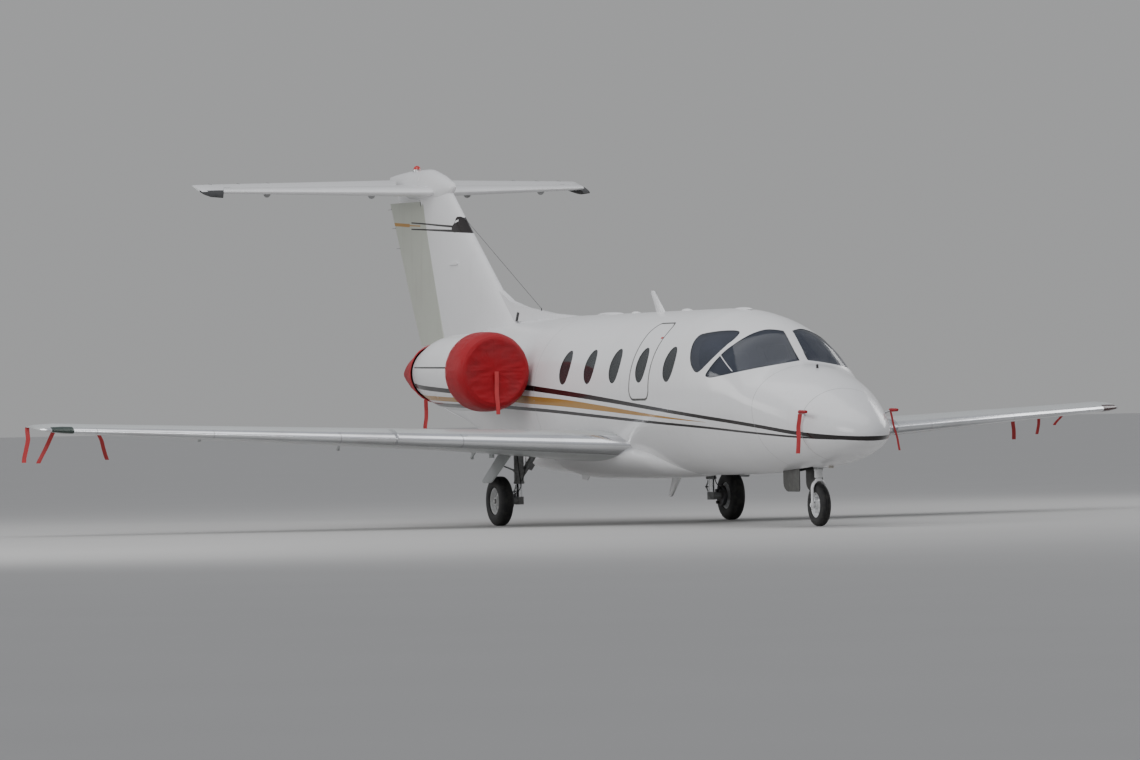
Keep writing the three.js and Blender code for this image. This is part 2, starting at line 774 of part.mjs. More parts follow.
addMesh("nose_cone", hull([7375, ...noseRings, noseConeEnd + seatGap]), finish.whitePaint);
addMesh("nose_section", noseSection, finish.whitePaint);
addMesh("cabin_shell", cabinShell, finish.whitePaint);
addMesh("tail_cone", tailCone, finish.whitePaint);
addMesh("belly_fairing", fairingBody(0).subtract(wholeHull), finish.whitePaint);
addMesh("cabin_door", door, finish.whitePaint);
addMesh("emergency_exit", exitHatch, finish.whitePaint);

// Glazing: each pane fills its opening; a strip behind the wall joins the ovals of one side

const glassLayer = wallLayer(paneRecess, paneRecess + paneThickness);
const windshieldPane = glassLayer.intersect(windshieldCutter(paneShrink));
const quarterPane = glassLayer.intersect(quarterCutter(paneShrink));
const plugLayer = wallLayer(paneRecess, wall + stripThickness);
function ovalBelt(stations, cutter) {
  const plugs = stations.map((x) => plugLayer.intersect(cutter(x, -seatGap)));
  if (stations.length === 1) return plugs[0];
  const half = stripHeight / 2;
  const [aft, front] = [Math.min(...stations), Math.max(...stations)];
  const low = vec(aft, 300, ovalCentre - half);
  const liner = wallLayer(wall + seatGap, wall + stripThickness);
  const strip = liner.intersect(box(low, vec(front, 900, ovalCentre + half)));
  return joined([...plugs, cutter === portOval ? strip : mirrored(strip)]);
}
const plainPane = (x, cutter) => wallLayer(paneRecess, wall).intersect(cutter(x, -seatGap));
addMesh("windshield_right", windshieldPane, finish.cabinGlass);
addMesh("windshield_left", mirrored(windshieldPane), finish.cabinGlass);
addMesh("quarter_window_right", quarterPane, finish.cabinGlass);
addMesh("quarter_window_left", mirrored(quarterPane), finish.cabinGlass);
addMesh("cabin_windows_right", ovalBelt(ovalStations, starboardOval), finish.cabinGlass);
addMesh("cabin_windows_left", ovalBelt([...ovalStations, exitOval], portOval), finish.cabinGlass);
addMesh("forward_window_right", plainPane(forwardOval, starboardOval), finish.cabinGlass);
addMesh("exit_window", plainPane(exitOval, starboardOval), finish.cabinGlass);
addMesh("door_window", plainPane(doorWindow, portOval), finish.cabinGlass);

// Cabin

function seat({ x, y, facing, width, depth, base, back, lift }) {
  const profile = [
    [-depth / 2, lift],
    [depth / 2 - 60, lift],
    [depth / 2 - 60, base - 130],
    [depth / 2, base - 110],
    [depth / 2, base],
    [-depth / 2 + 130, base - 20],
    [-depth / 2 + 20, back],
    [-depth / 2 - 110, back],
    [-depth / 2 - 20, base - 120],
  ];
  const placed = profile.map(([a, z]) => [x + facing * a, floorTop + z]);
  return sidePlate(placed, y - width / 2, y + width / 2);
}
const seatSolid = (row) => seat(Object.fromEntries(seatColumns.map((name, i) => [name, row[i]])));
const seatRoom = cabinInside(wall + 2);
const floorLow = vec(floorSpan[0], -farAway, floorTop - floorThickness + seatGap);
const floorSlab = box(floorLow, vec(floorSpan[1], farAway, floorTop));
const cabinSeats = seatRows.flatMap((row) => [seatSolid(row), mirrored(seatSolid(row))]);
const panelShape = [
  [0, 250],
  [0, 780],
  [-60, 840],
  [-190, 860],
  [-200, 835],
  [-90, 780],
  [-110, 250],
];
const panelOutline = panelShape.map(([a, z]) => [panel.x + a, floorTop + z]);
const panelBody = sidePlate(panelOutline, -panel.half, panel.half);
const pedestal = sidePlate(
  [
    [panel.x - 60, floorTop + seatGap],
    [panel.x - 60, 1300],
    [panel.x - 300, 1230],
    [panel.x - 620, 1100],
    [panel.x - 620, floorTop + seatGap],
  ],
  -110, 110,
);
addMesh("cabin_floor", joined([floorSlab, ...cabinSeats]).intersect(seatRoom), finish.carpet);
addMesh("instrument_panel", panelBody.add(pedestal).intersect(seatRoom), finish.panelBlack);
addPair("pilot_seat", seatSolid(pilotSeat).intersect(seatRoom), finish.seatLeather);

// Wing

const wholeWing = wingLoft(0, 1);
const bodyCutters = [wholeHull, fairingBody(-seatGap)];
let wingBox = cut(wingLoft(edgeFraction + 0.0003, 1), bodyCutters);

const flapFrame = hingeFrame(flapHinge.map((p) => vec(...p)));
const flapBlock = (grow) =>
  hingeBlock(flapFrame, { ahead: flapNose + grow, from: -grow, to: flapFrame.length + grow });
let flap = wingBox.intersect(flapBlock(0));
wingBox = wingBox.subtract(flapBlock(surfaceGap));

// Under the wing, each flap bracket stands beside a lug of the flap, on the hinge line
const lugRound = [0, 1, 2, 3, 4].map((i) => {
  const a = THREE.MathUtils.degToRad(-150 + 40 * i);
  return [20 * Math.cos(a), 20 * Math.sin(a)];
});
for (const share of bracketShares) {
  const { along, aft, above, start, length } = flapFrame;
  const base = start.clone().addScaledVector(along, share * length);
  const bracketShape = [...lugRound, [-70, 40], [-70, 110], [-230, 110], [-210, 60]];
  wingBox = wingBox.add(plate(bracketShape, aft, above, base, 0, bracketThickness));
  const lugShape = [...lugRound, [110, 100], [20, 110]];
  flap = flap.add(plate(lugShape, aft, above, base, -bracketThickness - seatGap, bracketThickness));
}

const trimFrame = hingeFrame(hingePoints(wingRows, trimHinge));
const trim = splitSurface(wingBox, trimFrame, trimHinge.radii);
wingBox = trim.fixed;

// Spoiler: a flat panel let into the upper skin, hinged near its front edge
const [frontIn, frontOut] = spoilerSpan.map((y) => skinPoints(wingRows, y, spoilerFractions.front).upper);
const backIn = skinPoints(wingRows, spoilerSpan[0], spoilerFractions.back).upper;
const spoilerAlong = frontOut.clone().sub(frontIn).normalize();
const spoilerUp = backIn.clone().sub(frontIn).cross(spoilerAlong).normalize();
const spoilerAft = spoilerUp.clone().cross(spoilerAlong).normalize();
if (spoilerUp.z < 0) spoilerUp.negate();
if (spoilerAft.x > 0) spoilerAft.negate();
const spoilerFrame = {
  start: frontIn, along: spoilerAlong, aft: spoilerAft, above: spoilerUp,
  length: frontOut.distanceTo(frontIn),
};
const spoilerChord = backIn.clone().sub(frontIn).dot(spoilerAft);
function spoilerBlock(grow, depth) {
  const ends = { from: -grow, to: spoilerFrame.length + grow };
  const whole = hingeBlock(spoilerFrame, { ahead: grow, behind: spoilerChord + grow, reach: 60, ...ends });
  const lift = spoilerUp.clone().multiplyScalar(60 - depth);
  return reshaped(whole, (p) => p.add(lift));
}
const spoiler = wholeWing.intersect(spoilerBlock(0, spoilerThickness));
wingBox = wingBox.subtract(spoilerBlock(surfaceGap - 1, spoilerThickness + 12));
const spoilerAxis = [frontIn, frontOut].map((p) =>
  p.clone().addScaledVector(spoilerAft, spoilerPin.back).addScaledVector(spoilerUp, -spoilerPin.depth),
);
spoilerAxis.forEach((p, i) => {
  const away = spoilerAlong.clone().multiplyScalar(i === 0 ? -1 : 1);
  const inside = p.clone().addScaledVector(away, pinDepth);
  wingBox = wingBox.add(rod(inside, p.clone().addScaledVector(away, seatGap), spoilerPin.radius, 8));
});

// Stall fence, a thin plate round the leading edge
const fenceLead = leadAt(wingRows, fence.y);
const fenceShape = [
  [fence.ahead, -8],
  [fence.ahead - 14, fence.above],
  [-90, fence.above + 52],
  [-fence.back, 112],
  [-fence.back, 40],
  [-60, 0],
  [-30, -fence.below - 28],
  [fence.ahead - 30, -fence.below],
].map(([x, z]) => [fenceLead.lead + x, fenceLead.height + z]);
const fencePlate = sidePlate(fenceShape, fence.y - fence.thickness / 2, fence.y + fence.thickness / 2);
const leadingEdge = cut(wingLoft(0, edgeFraction), bodyCutters);
const pad = rod(
  vec(jackPad.x, jackPad.y, leadAt(wingRows, jackPad.y).height),
  vec(jackPad.x, jackPad.y, jackPad.low),
  jackPad.radius,
);
addPair("wing", wingBox.add(pad), finish.greyPaint);
const fenceBlade = fencePlate.subtract(wingLoft(edgeFraction, 1, seatGap));
addPair("leading_edge", leadingEdge.add(fenceBlade), finish.polishedMetal);
addPair("flap", flap, finish.whitePaint);
addPair("roll_trim", trim.moving, finish.whitePaint);
addPair("spoiler", spoiler, finish.whitePaint);

// Tail

const finSections = rowsOf(finColumns, finStations).map((s) => {
  const section = { ...s, y: 0, height: 0, incidence: 0, thickness: s.thickness / (s.lead - s.trail) };
  return foilRing(section, 0, 1, 0, 0).map((p) => vec(p.x, p.z, s.z));
});
const wholeFin = loft(finSections).add(sidePlate(dorsalOutline, -dorsalThickness / 2, dorsalThickness / 2));
const rudderFrame = hingeFrame(rudderHinge.map((p) => vec(...p)));
const rudderRegion = (grow) =>
  hingeBlock(rudderFrame, { ahead: 0, from: -500, to: rudderFrame.length + 500 }).intersect(
    box(
      vec(-farAway, -500, rudderEnds[0] - grow),
      vec(farAway, 500, rudderEnds[1] + grow * rudderRise),
    ),
  );
const finSplit = splitSurface(wholeFin, rudderFrame, rudderRadii, {
  region: rudderRegion,
  bossDepth: rudderBoss,
});

const tailRows = rowsOf(tailColumns, tailStations);
const halfTail = loft(tailRows.map((s) => foilRing(s, 0, 1, 0, 0)));
const elevatorFrame = hingeFrame(hingePoints(tailRows, elevatorHinge, 0));
const tailReach = elevatorFrame.length + 700;
const elevatorRegion = (grow) =>
  hingeBlock(elevatorFrame, { ahead: 0, from: surfaceGap - grow, to: tailReach });
const hornBlock = (from) => hingeBlock(elevatorFrame, { ahead: 900, behind: 0.5, from, to: tailReach });
const tailSplit = splitSurface(halfTail, elevatorFrame, elevatorHinge.radii, {
  region: elevatorRegion,
  bossDepth: hornRib,
});
const horn = halfTail.intersect(hornBlock(elevatorFrame.length + hornRib + surfaceGap));
const elevator = turned(joined([tailSplit.moving, horn]), elevatorFrame, elevatorRest);
const tailHalf = tailSplit.fixed.subtract(hornBlock(elevatorFrame.length + hornRib));
const bulletShape = (inset) => loft(bulletStations.map((row) => bodyRing(bulletAt, row[0], inset, 16)));
const stabilizer = joined([tailHalf, mirrored(tailHalf), bulletShape(0)]);
const grownTail = loft(tailRows.map((s) => foilRing(s, 0, 1, 0, seatGap)));
const finCutters = [wholeHull, bulletShape(-seatGap), grownTail, mirrored(grownTail)];

addMesh("fin", cut(finSplit.fixed, finCutters), finish.whitePaint);
addMesh("rudder", turned(finSplit.moving, rudderFrame, rudderRest), finish.greyPaint);
addMesh("stabilizer", stabilizer, finish.whitePaint);
addPair("elevator", elevator, finish.whitePaint);

// Engines

const nacelle = nacelleShape([...nacelleOutside, ...nacelleInside, nacelleOutside[0]]);
const nacelleEnds = [nacelleOutside[0][0], nacelleOutside.at(-1)[0]];
const nacelleFilled = nacelleShape(
  [[nacelleEnds[0], 0], ...nacelleOutside, [nacelleEnds[1], 0]],
  seatGap,
);
const nacelleMiddle = (nacelleEnds[0] + nacelleEnds[1]) / 2;
const coverSeat = reshaped(nacelleFilled, (p) =>
  vec(p.x > nacelleMiddle ? p.x + seatGap : p.x - seatGap, p.y, p.z),
);
const block = nacelleShape([
  [engineBlock.front, 0],
  [engineBlock.front, engineBlock.radius],
  [engineBlock.back, engineBlock.radius],
  [engineBlock.back, 0],
]);
addPair("nacelle", nacelle, finish.whitePaint);
addPair("engine", block, finish.gearSteel);
addPair("intake_cover", nacelleShape(intakeCover).subtract(coverSeat), finish.redVinyl);
addPair("exhaust_cover", nacelleShape(exhaustCover).subtract(coverSeat), finish.redVinyl);
addPair("pylon", cut(sidePlate(pylonOutline, 420, 1180), [wholeHull, coverSeat]), finish.greyPaint);

// Main landing gear

const grownWing = wingLoft(0, 1, seatGap);
const axleHeight = mainWheel.radius;
const legAt = (z) => vec(mainWheel.x, mainStrut.y, z);
const axleAt = (y) => vec(mainWheel.x, y, axleHeight);
const torqueSides = [mainStrut.y - torqueHalf, mainStrut.y + torqueHalf];
const torqueLink = sidePlate(torqueOutline, ...torqueSides);
const mainLeg = joined([
  rod(legAt(mainStrut.top), legAt(mainStrut.join), mainStrut.radius, 12),
  rod(legAt(mainStrut.join + 10), legAt(axleHeight), mainStrut.piston, 12),
  rod(legAt(axleHeight + 44), legAt(axleHeight - 44), 50, 12),
  rod(axleAt(mainStrut.y), axleAt(mainWheel.y + axleEnd), mainWheel.bore, wheelSegments),
  rod(axleAt(brake.inner), axleAt(brake.outer), brake.radius, wheelSegments),
  rod(legAt(sideBrace.low), vec(mainWheel.x, sideBrace.inner, sideBrace.high), sideBrace.radius, 10),
  torqueLink,
]);
const [doorTop, doorLow] = [gearDoor.top, gearDoor.low];
const doorAcross = vec(0, doorLow[0] - doorTop[0], doorLow[1] - doorTop[1]);
const doorLength = doorAcross.length();
const doorPlate = plate(
  [
    [gearDoor.back, 0],
    [gearDoor.front, 0],
    [gearDoor.front - 20, doorLength],
    [gearDoor.back + 70, doorLength],
  ],
  axisX, doorAcross.clone().normalize(), vec(0, doorTop[0], doorTop[1]), 0, gearDoor.thickness,
);
const legCutters = [grownWing, ...bodyCutters];
addPair("main_gear_leg", cut(mainLeg, legCutters), finish.gearSteel);
addPair("main_gear_door", cut(doorPlate, [grownWing]), finish.greyPaint);

function tyreShape({ x, y, radius, width, rim }) {
  const half = width / 2;
  const profile = [
    [-half * 0.72, rim],
    [-half, rim + (radius - rim) * 0.45],
    [-half * 0.86, radius - (radius - rim) * 0.14],
    [-half * 0.5, radius],
    [half * 0.5, radius],
    [half * 0.86, radius - (radius - rim) * 0.14],
    [half, rim + (radius - rim) * 0.45],
    [half * 0.72, rim],
    [-half * 0.72, rim],
  ];
  return wheelShape(profile, x, y, radius);
}

function rimShape({ x, y, radius, width, rim, bore }, hubHalf) {
  const half = width * 0.36;
  const seat = rim - seatGap;
  const profile = [
    [-half, seat],
    [-half, seat - 16],
    [-half * 0.35, seat - 26],
    [-half * 0.3, bore + 34],
    [-hubHalf, bore + axleGap],
    [hubHalf, bore + axleGap],
    [half * 0.3, bore + 34],
    [half * 0.35, seat - 26],
    [half, seat - 16],
    [half, seat],
    [-half, seat],
  ];
  return wheelShape(profile, x, y, radius);
}
addPair("main_wheel", rimShape(mainWheel, 52), finish.rimPaint);
addPair("main_tyre", tyreShape(mainWheel), finish.tyreRubber);

// Nose landing gear

const noseAt = (z, y = 0) => vec(noseWheel.x, y, z);
const trunnionHalf = noseBay.half - seatGap;
const noseLeg = joined([
  rod(noseAt(noseStrut.trunnion, -trunnionHalf), noseAt(noseStrut.trunnion, trunnionHalf), 28),
  rod(noseAt(noseStrut.trunnion + 30), noseAt(noseStrut.join), noseStrut.radius, 12),
  rod(noseAt(580), vec(5560, 0, noseBay.roof - 24), 18, 10),
]);
const noseFork = joined([
  rod(noseAt(noseStrut.join - seatGap), noseAt(fork.crownLow + 4), noseStrut.piston, 12),
  box(
    vec(noseWheel.x - fork.crownHalf, -fork.legOuter, fork.crownLow),
    vec(noseWheel.x + fork.crownHalf, fork.legOuter, fork.crownHigh),
  ),
  rod(
    noseAt(noseWheel.radius, -fork.legOuter - 4),
    noseAt(noseWheel.radius, fork.legOuter + 4),
    noseWheel.bore,
    wheelSegments,
  ),
  ...[-fork.legOuter, fork.legInner].map((y) =>
    box(
      vec(noseWheel.x - fork.half, y, noseWheel.radius - 34),
      vec(noseWheel.x + fork.half, y + fork.legOuter - fork.legInner, fork.crownHigh),
    ),
  ),
]);
const noseDoorShape = [
  [noseDoor.back, noseDoor.high],
  [noseDoor.back, noseDoor.low + 60],
  [noseDoor.back + 90, noseDoor.low],
  [noseDoor.front, noseDoor.low],
  [noseDoor.front, noseDoor.high],
];
const noseDoorPlate = sidePlate(noseDoorShape, noseDoor.inner, noseDoor.outer).subtract(wholeHull);
addMesh("nose_gear_leg", noseLeg, finish.gearSteel);
addPair("nose_gear_door", noseDoorPlate, finish.whitePaint);
addMesh("nose_fork", noseFork, finish.whitePaint);
addMesh("nose_wheel", rimShape({ ...noseWheel, y: 0 }, 58), finish.rimPaint);
addMesh("nose_tyre", tyreShape({ ...noseWheel, y: 0 }), finish.tyreRubber);

export default group;
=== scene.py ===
# A light business jet, parked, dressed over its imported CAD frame. Metres, +X to the nose, +Z up.
import math
import bpy
import bmesh
from mathutils import Matrix, Quaternion, Vector, noise
from mathutils.bvhtree import BVHTree


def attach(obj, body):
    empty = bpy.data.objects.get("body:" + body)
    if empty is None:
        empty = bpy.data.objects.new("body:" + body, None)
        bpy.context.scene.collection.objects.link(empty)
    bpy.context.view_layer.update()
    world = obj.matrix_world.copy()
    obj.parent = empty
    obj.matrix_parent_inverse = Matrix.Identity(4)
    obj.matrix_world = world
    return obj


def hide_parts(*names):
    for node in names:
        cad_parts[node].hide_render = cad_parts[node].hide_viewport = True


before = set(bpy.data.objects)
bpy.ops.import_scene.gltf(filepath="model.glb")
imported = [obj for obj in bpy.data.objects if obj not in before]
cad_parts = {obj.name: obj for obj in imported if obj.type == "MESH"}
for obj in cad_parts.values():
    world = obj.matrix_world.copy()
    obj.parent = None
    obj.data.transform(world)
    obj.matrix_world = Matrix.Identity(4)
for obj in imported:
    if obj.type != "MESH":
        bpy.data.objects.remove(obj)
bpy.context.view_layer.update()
scene = bpy.context.scene
xAxis, yAxis, zAxis = Vector((1, 0, 0)), Vector((0, 1, 0)), Vector((0, 0, 1))
touchGap = 0.0003   # between pieces that touch


# Mesh helpers

def newObject(name, mesh):
    piece = bpy.data.objects.new(name, mesh)
    scene.collection.objects.link(piece)
    return piece


def meshFrom(name, points, faces):
    mesh = bpy.data.meshes.new(name)
    mesh.from_pydata([tuple(p) for p in points], [], faces)
    mesh.validate()
    return mesh


def outward(mesh):
    shape = bmesh.new()
    shape.from_mesh(mesh)
    bmesh.ops.remove_doubles(shape, verts=shape.verts, dist=1e-6)
    bmesh.ops.recalc_face_normals(shape, faces=shape.faces)
    if shape.calc_volume(signed=True) < 0:
        bmesh.ops.reverse_faces(shape, faces=shape.faces)
    shape.to_mesh(mesh)
    shape.free()
    return mesh


def loft(rings, name="loft"):
    # a closed skin through rings of points; a ring of one point is a tip
    points, starts = [], []
    for ring in rings:
        starts.append(len(points))
        points += ring
    count = max(len(ring) for ring in rings)
    at = lambda r, i: starts[r] + (0 if len(rings[r]) == 1 else i % count)
    faces = []
    for r in range(len(rings) - 1):
        for i in range(count):
            corners = [at(r, i), at(r, i + 1), at(r + 1, i + 1), at(r + 1, i)]
            faces.append(list(dict.fromkeys(corners)))
    for r, flip in ((0, True), (len(rings) - 1, False)):
        if len(rings[r]) > 1:
            ring = [at(r, i) for i in range(count)]
            faces.append(ring[::-1] if flip else ring)
    return outward(meshFrom(name, points, faces))


def prism(outline, across, up, base, low, high):
    # an outline in the plane of two axes, thickened along their cross product
    across, up = Vector(across), Vector(up)
    normal = across.cross(up)
    return loft([[Vector(base) + across * a + up * b + normal * d for a, b in outline] for d in (low, high)])


def sidePlate(outline, low, high):
    return prism(outline, xAxis, zAxis, (0, 0, 0), -high, -low)


def block(low, high):
    (a, b, c), (d, e, f) = low, high
    ring = lambda z: [Vector(p) for p in ((a, b, z), (d, b, z), (d, e, z), (a, e, z))]
    return loft([ring(c), ring(f)])


def anglesAround(count):
    return [2 * math.pi * i / count for i in range(count)]


def circle(radius, height, sides):
    return [Vector((radius * math.cos(a), radius * math.sin(a), height)) for a in anglesAround(sides)]


def rod(start, end, radius, endRadius=None, sides=32):
    start, end = Vector(start), Vector(end)
    turn = zAxis.rotation_difference(end - start)
    ends = ((start, radius), (end, radius if endRadius is None else endRadius))
    return loft([[middle + turn @ p for p in circle(r, 0, sides)] for middle, r in ends])


def lathe(profile, origin, along, sides=64):
    # a profile of distance and radius, turned about an axis; it closes on the axis or on itself
    turn = zAxis.rotation_difference(Vector(along))
    rings = [[Vector(origin) + turn @ p for p in circle(r, distance, sides if r >= 1e-6 else 1)]
             for distance, r in profile]
    if len(rings[0]) > 1 and profile[0] == profile[-1]:
        points = [p for ring in rings[:-1] for p in ring]
        count = len(rings) - 1
        faces = [[r * sides + i, r * sides + (i + 1) % sides,
                  (r + 1) % count * sides + (i + 1) % sides, (r + 1) % count * sides + i]
                 for r in range(count) for i in range(sides)]
        return outward(meshFrom("ring", points, faces))
    return loft(rings)


def reshape(mesh, move):
    copy = mesh.copy()
    for vertex in copy.vertices:
        vertex.co = move(vertex.co.copy())
    return copy


def mirrored(mesh):
    copy = reshape(mesh, lambda p: Vector((p.x, -p.y, p.z)))
    copy.flip_normals()
    return copy


def turned(mesh, start, along, degrees):
    spin = Quaternion(Vector(along).normalized(), math.radians(degrees))
    return reshape(mesh, lambda p: spin @ (p - Vector(start)) + Vector(start))


def joined(meshes):
    # loose shells side by side in one mesh
    points, faces = [], []
    for mesh in meshes:
        offset = len(points)
        points += [v.co.copy() for v in mesh.vertices]
        faces += [[offset + i for i in polygon.vertices] for polygon in mesh.polygons]
    return meshFrom("joined", points, faces)


def carve(base, steps):
    # a chain of exact solid cuts, as the lists that minus, plus and within give
    body, tools = newObject("carved", base.copy()), []
    for operation, mesh in steps:
        tool = newObject("tool", mesh)
        cut = body.modifiers.new("cut", "BOOLEAN")
        cut.operation, cut.solver, cut.object = operation, "MANIFOLD", tool
        tools.append(tool)
    graph = bpy.context.evaluated_depsgraph_get()
    result = bpy.data.meshes.new_from_object(body.evaluated_get(graph))
    for extra in tools + [body]:
        bpy.data.objects.remove(extra)
    if len(result.polygons) == 0:
        print("empty cut", base.name)
    return result


minus = lambda *meshes: [("DIFFERENCE", mesh) for mesh in meshes]
plus = lambda *meshes: [("UNION", mesh) for mesh in meshes]
within = lambda *meshes: [("INTERSECT", mesh) for mesh in meshes]


def sampler(columns, rows):
    # values along a table of stations, with slopes limited so that the curve never overshoots
    order = 1 if rows[0][0] < rows[1][0] else -1
    keys = [row[0] * order for row in rows]
    slope = lambda i, c: (rows[i + 1][c] - rows[i][c]) / (keys[i + 1] - keys[i])

    def tangent(i, c):
        if i == 0:
            return slope(0, c)
        if i == len(rows) - 1:
            return slope(i - 1, c)
        a, b = slope(i - 1, c), slope(i, c)
        return 0 if a * b <= 0 else 2 * a * b / (a + b)

    def at(value):
        key = min(max(value * order, keys[0]), keys[-1])
        i = next((j for j in range(len(keys) - 1) if keys[j + 1] >= key), len(keys) - 2)
        span = keys[i + 1] - keys[i]
        t = (key - keys[i]) / span
        found = {columns[0]: value}
        for c in range(1, len(columns)):
            p, q, m, n = rows[i][c], rows[i + 1][c], tangent(i, c) * span, tangent(i + 1, c) * span
            found[columns[c]] = (p + (3 * t * t - 2 * t ** 3) * (q - p) + (t - 2 * t * t + t ** 3) * m
                                 + (t ** 3 - t * t) * n)
        return found
    return at


def shade(mesh, guides=(), angle=32, match=0.88):
    # smooth shading with sharp edges; a face that lies on a guide surface takes that surface's own normals
    mesh.shade_smooth()
    mesh.set_sharp_from_angle(angle=math.radians(angle))
    if not guides:
        return mesh
    trees = []
    for guide in guides:
        guide.calc_loop_triangles()
        corners = [tuple(t.vertices) for t in guide.loop_triangles]
        points = [v.co.copy() for v in guide.vertices]
        normals = [v.normal.copy() for v in guide.vertices]
        trees.append((BVHTree.FromPolygons(points, corners), points, normals, corners))
    custom = [Vector((0, 0, 0))] * len(mesh.loops)
    known = {}
    for polygon in mesh.polygons:
        flat = polygon.normal
        for loop in polygon.loop_indices:
            index = mesh.loops[loop].vertex_index
            if index not in known:
                known[index] = []
                spot = mesh.vertices[index].co
                for tree, points, normals, corners in trees:
                    place, _, face, _ = tree.find_nearest(spot, 0.004)
                    if place is None:
                        continue
                    weights = barycentric(place, *(points[i] for i in corners[face]))
                    blend = sum((normals[i] * w for i, w in zip(corners[face], weights)), Vector())
                    known[index].append(blend.normalized())
            best = max(known[index], key=lambda n: n.dot(flat), default=None)
            if best is not None and best.dot(flat) > match:
                custom[loop] = best
    mesh.normals_split_custom_set(custom)
    return mesh


def barycentric(p, a, b, c):
    u, v, w = b - a, c - a, p - a
    uu, uv, vv, wu, wv = u.dot(u), u.dot(v), v.dot(v), w.dot(u), w.dot(v)
    base = uu * vv - uv * uv
    if abs(base) < 1e-18:
        return 1 / 3, 1 / 3, 1 / 3
    s, t = (vv * wu - uv * wv) / base, (uu * wv - uv * wu) / base
    return 1 - s - t, s, t


finishOf = lambda finish: finishes[finish] if isinstance(finish, str) else finish


def addPiece(name, mesh, body, materials, nodes=(), slot=None):
    # materials are given themselves or by their names in finishes
    piece = newObject(name, mesh)
    mesh.name = name
    materials = [finishOf(m) for m in (materials if isinstance(materials, (list, tuple)) else [materials])]
    chosen = [min(polygon.material_index, len(materials) - 1) for polygon in mesh.polygons]
    mesh.materials.clear()
    for material in materials:
        mesh.materials.append(material)
    mesh.polygons.foreach_set("material_index", chosen)
    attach(piece, body)
    if nodes:
        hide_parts(*([nodes] if isinstance(nodes, str) else nodes))
    return piece


def addPair(name, mesh, body, materials, nodes=(), slot=None, guides=(), **look):
    # body and nodes ending in "_" get the side added
    pieces = []
    for side, shape in (("left", mesh), ("right", mirrored(mesh))):
        sideGuides = guides if side == "left" else [mirrored(guide) for guide in guides]
        shade(shape, sideGuides, **look)
        sideNodes = [node + side for node in ([nodes] if isinstance(nodes, str) else nodes)]
        bodyName = body + side if body.endswith("_") else body
        pieces.append(addPiece(name + "_" + side, shape, bodyName, materials, sideNodes, slot))
    return pieces


# Shader building

def feed(tree, socket, value):
    # a link, or a constant set on the socket itself
    if isinstance(value, bpy.types.NodeSocket):
        tree.links.new(value, socket)
    else:
        socket.default_value = (*value, 1) if socket.type == "RGBA" else value


def setInputs(made, **values):
    for key, value in values.items():
        feed(made.id_data, made.inputs[key.replace("_", " ")], value)
    return made


def addNode(tree, kind, settings=None, **values):
    made = tree.nodes.new(kind)
    for key, value in (settings or {}).items():
        setattr(made, key, value)
    return setInputs(made, **values)


def maths(tree, operation, *values, clamp=False):
    made = addNode(tree, "ShaderNodeMath", {"operation": operation, "use_clamp": clamp})
    for socket, value in zip(made.inputs, values):
        feed(tree, socket, value)
    return made.outputs[0]


def mixColour(tree, factor, a, b):
    made = addNode(tree, "ShaderNodeMix", {"data_type": "RGBA", "clamp_factor": True})
    for index, value in ((0, factor), (6, a), (7, b)):
        feed(tree, made.inputs[index], value)
    return made.outputs[2]


def cloudy(tree, vector, scale, detail=2, rough=0.5, **settings):
    return addNode(tree, "ShaderNodeTexNoise", settings, Vector=vector, Scale=scale, Detail=detail,
                   Roughness=rough).outputs[0]


def stretched(tree, vector, **values):
    return addNode(tree, "ShaderNodeMapping", Vector=vector, **values).outputs[0]


def ramp(tree, value, low, high):
    # 0 below low, 1 above high
    return addNode(tree, "ShaderNodeMapRange", {"interpolation_type": "SMOOTHSTEP"},
                   Value=value, From_Min=low, From_Max=high).outputs[0]


def addSockets(tree, direction, rows):
    for label, kind, *value in rows:
        socket = tree.interface.new_socket(label, in_out=direction, socket_type="NodeSocket" + kind)
        if value:
            socket.default_value = value[0]


def shaderGroup(name, inputs, outputs, build):
    tree = bpy.data.node_groups.new(name, "ShaderNodeTree")
    addSockets(tree, "INPUT", inputs)
    addSockets(tree, "OUTPUT", [(label, "Float") for label in outputs])
    source, sink = tree.nodes.new("NodeGroupInput"), tree.nodes.new("NodeGroupOutput")
    for label, value in build(tree, source.outputs).items():
        tree.links.new(value, sink.inputs[label])
    return tree


def useGroup(tree, group, **values):
    return addNode(tree, "ShaderNodeGroup", {"node_tree": group}, **values).outputs


def buildBand(tree, given):
    away = maths(tree, "ABSOLUTE", maths(tree, "SUBTRACT", given["Value"], given["Centre"]))
    edge = maths(tree, "SUBTRACT", given["Half Width"], away)
    return {"Mask": maths(tree, "MULTIPLY_ADD", edge, 600, 0.5, clamp=True)}


def buildGrime(tree, given):
    # broad soiling, finer specks and rain streaks that run down the sides
    place = given["Vector"]
    broad = cloudy(tree, place, 0.9, 5, 0.6)
    streak = cloudy(tree, stretched(tree, place, Scale=(9, 9, 0.7)), 1.6, 4, 0.55)
    soft, lines = ramp(tree, broad, 0.42, 0.78), ramp(tree, streak, 0.5, 0.8)
    specks = ramp(tree, cloudy(tree, place, 26, 3), 0.55, 0.85)
    total = maths(tree, "ADD", maths(tree, "MULTIPLY", soft, 0.5), maths(tree, "MULTIPLY", lines, 0.4))
    total = maths(tree, "MULTIPLY_ADD", specks, 0.18, total)
    return {"Grime": maths(tree, "MULTIPLY", total, given["Amount"]), "Waviness": broad}


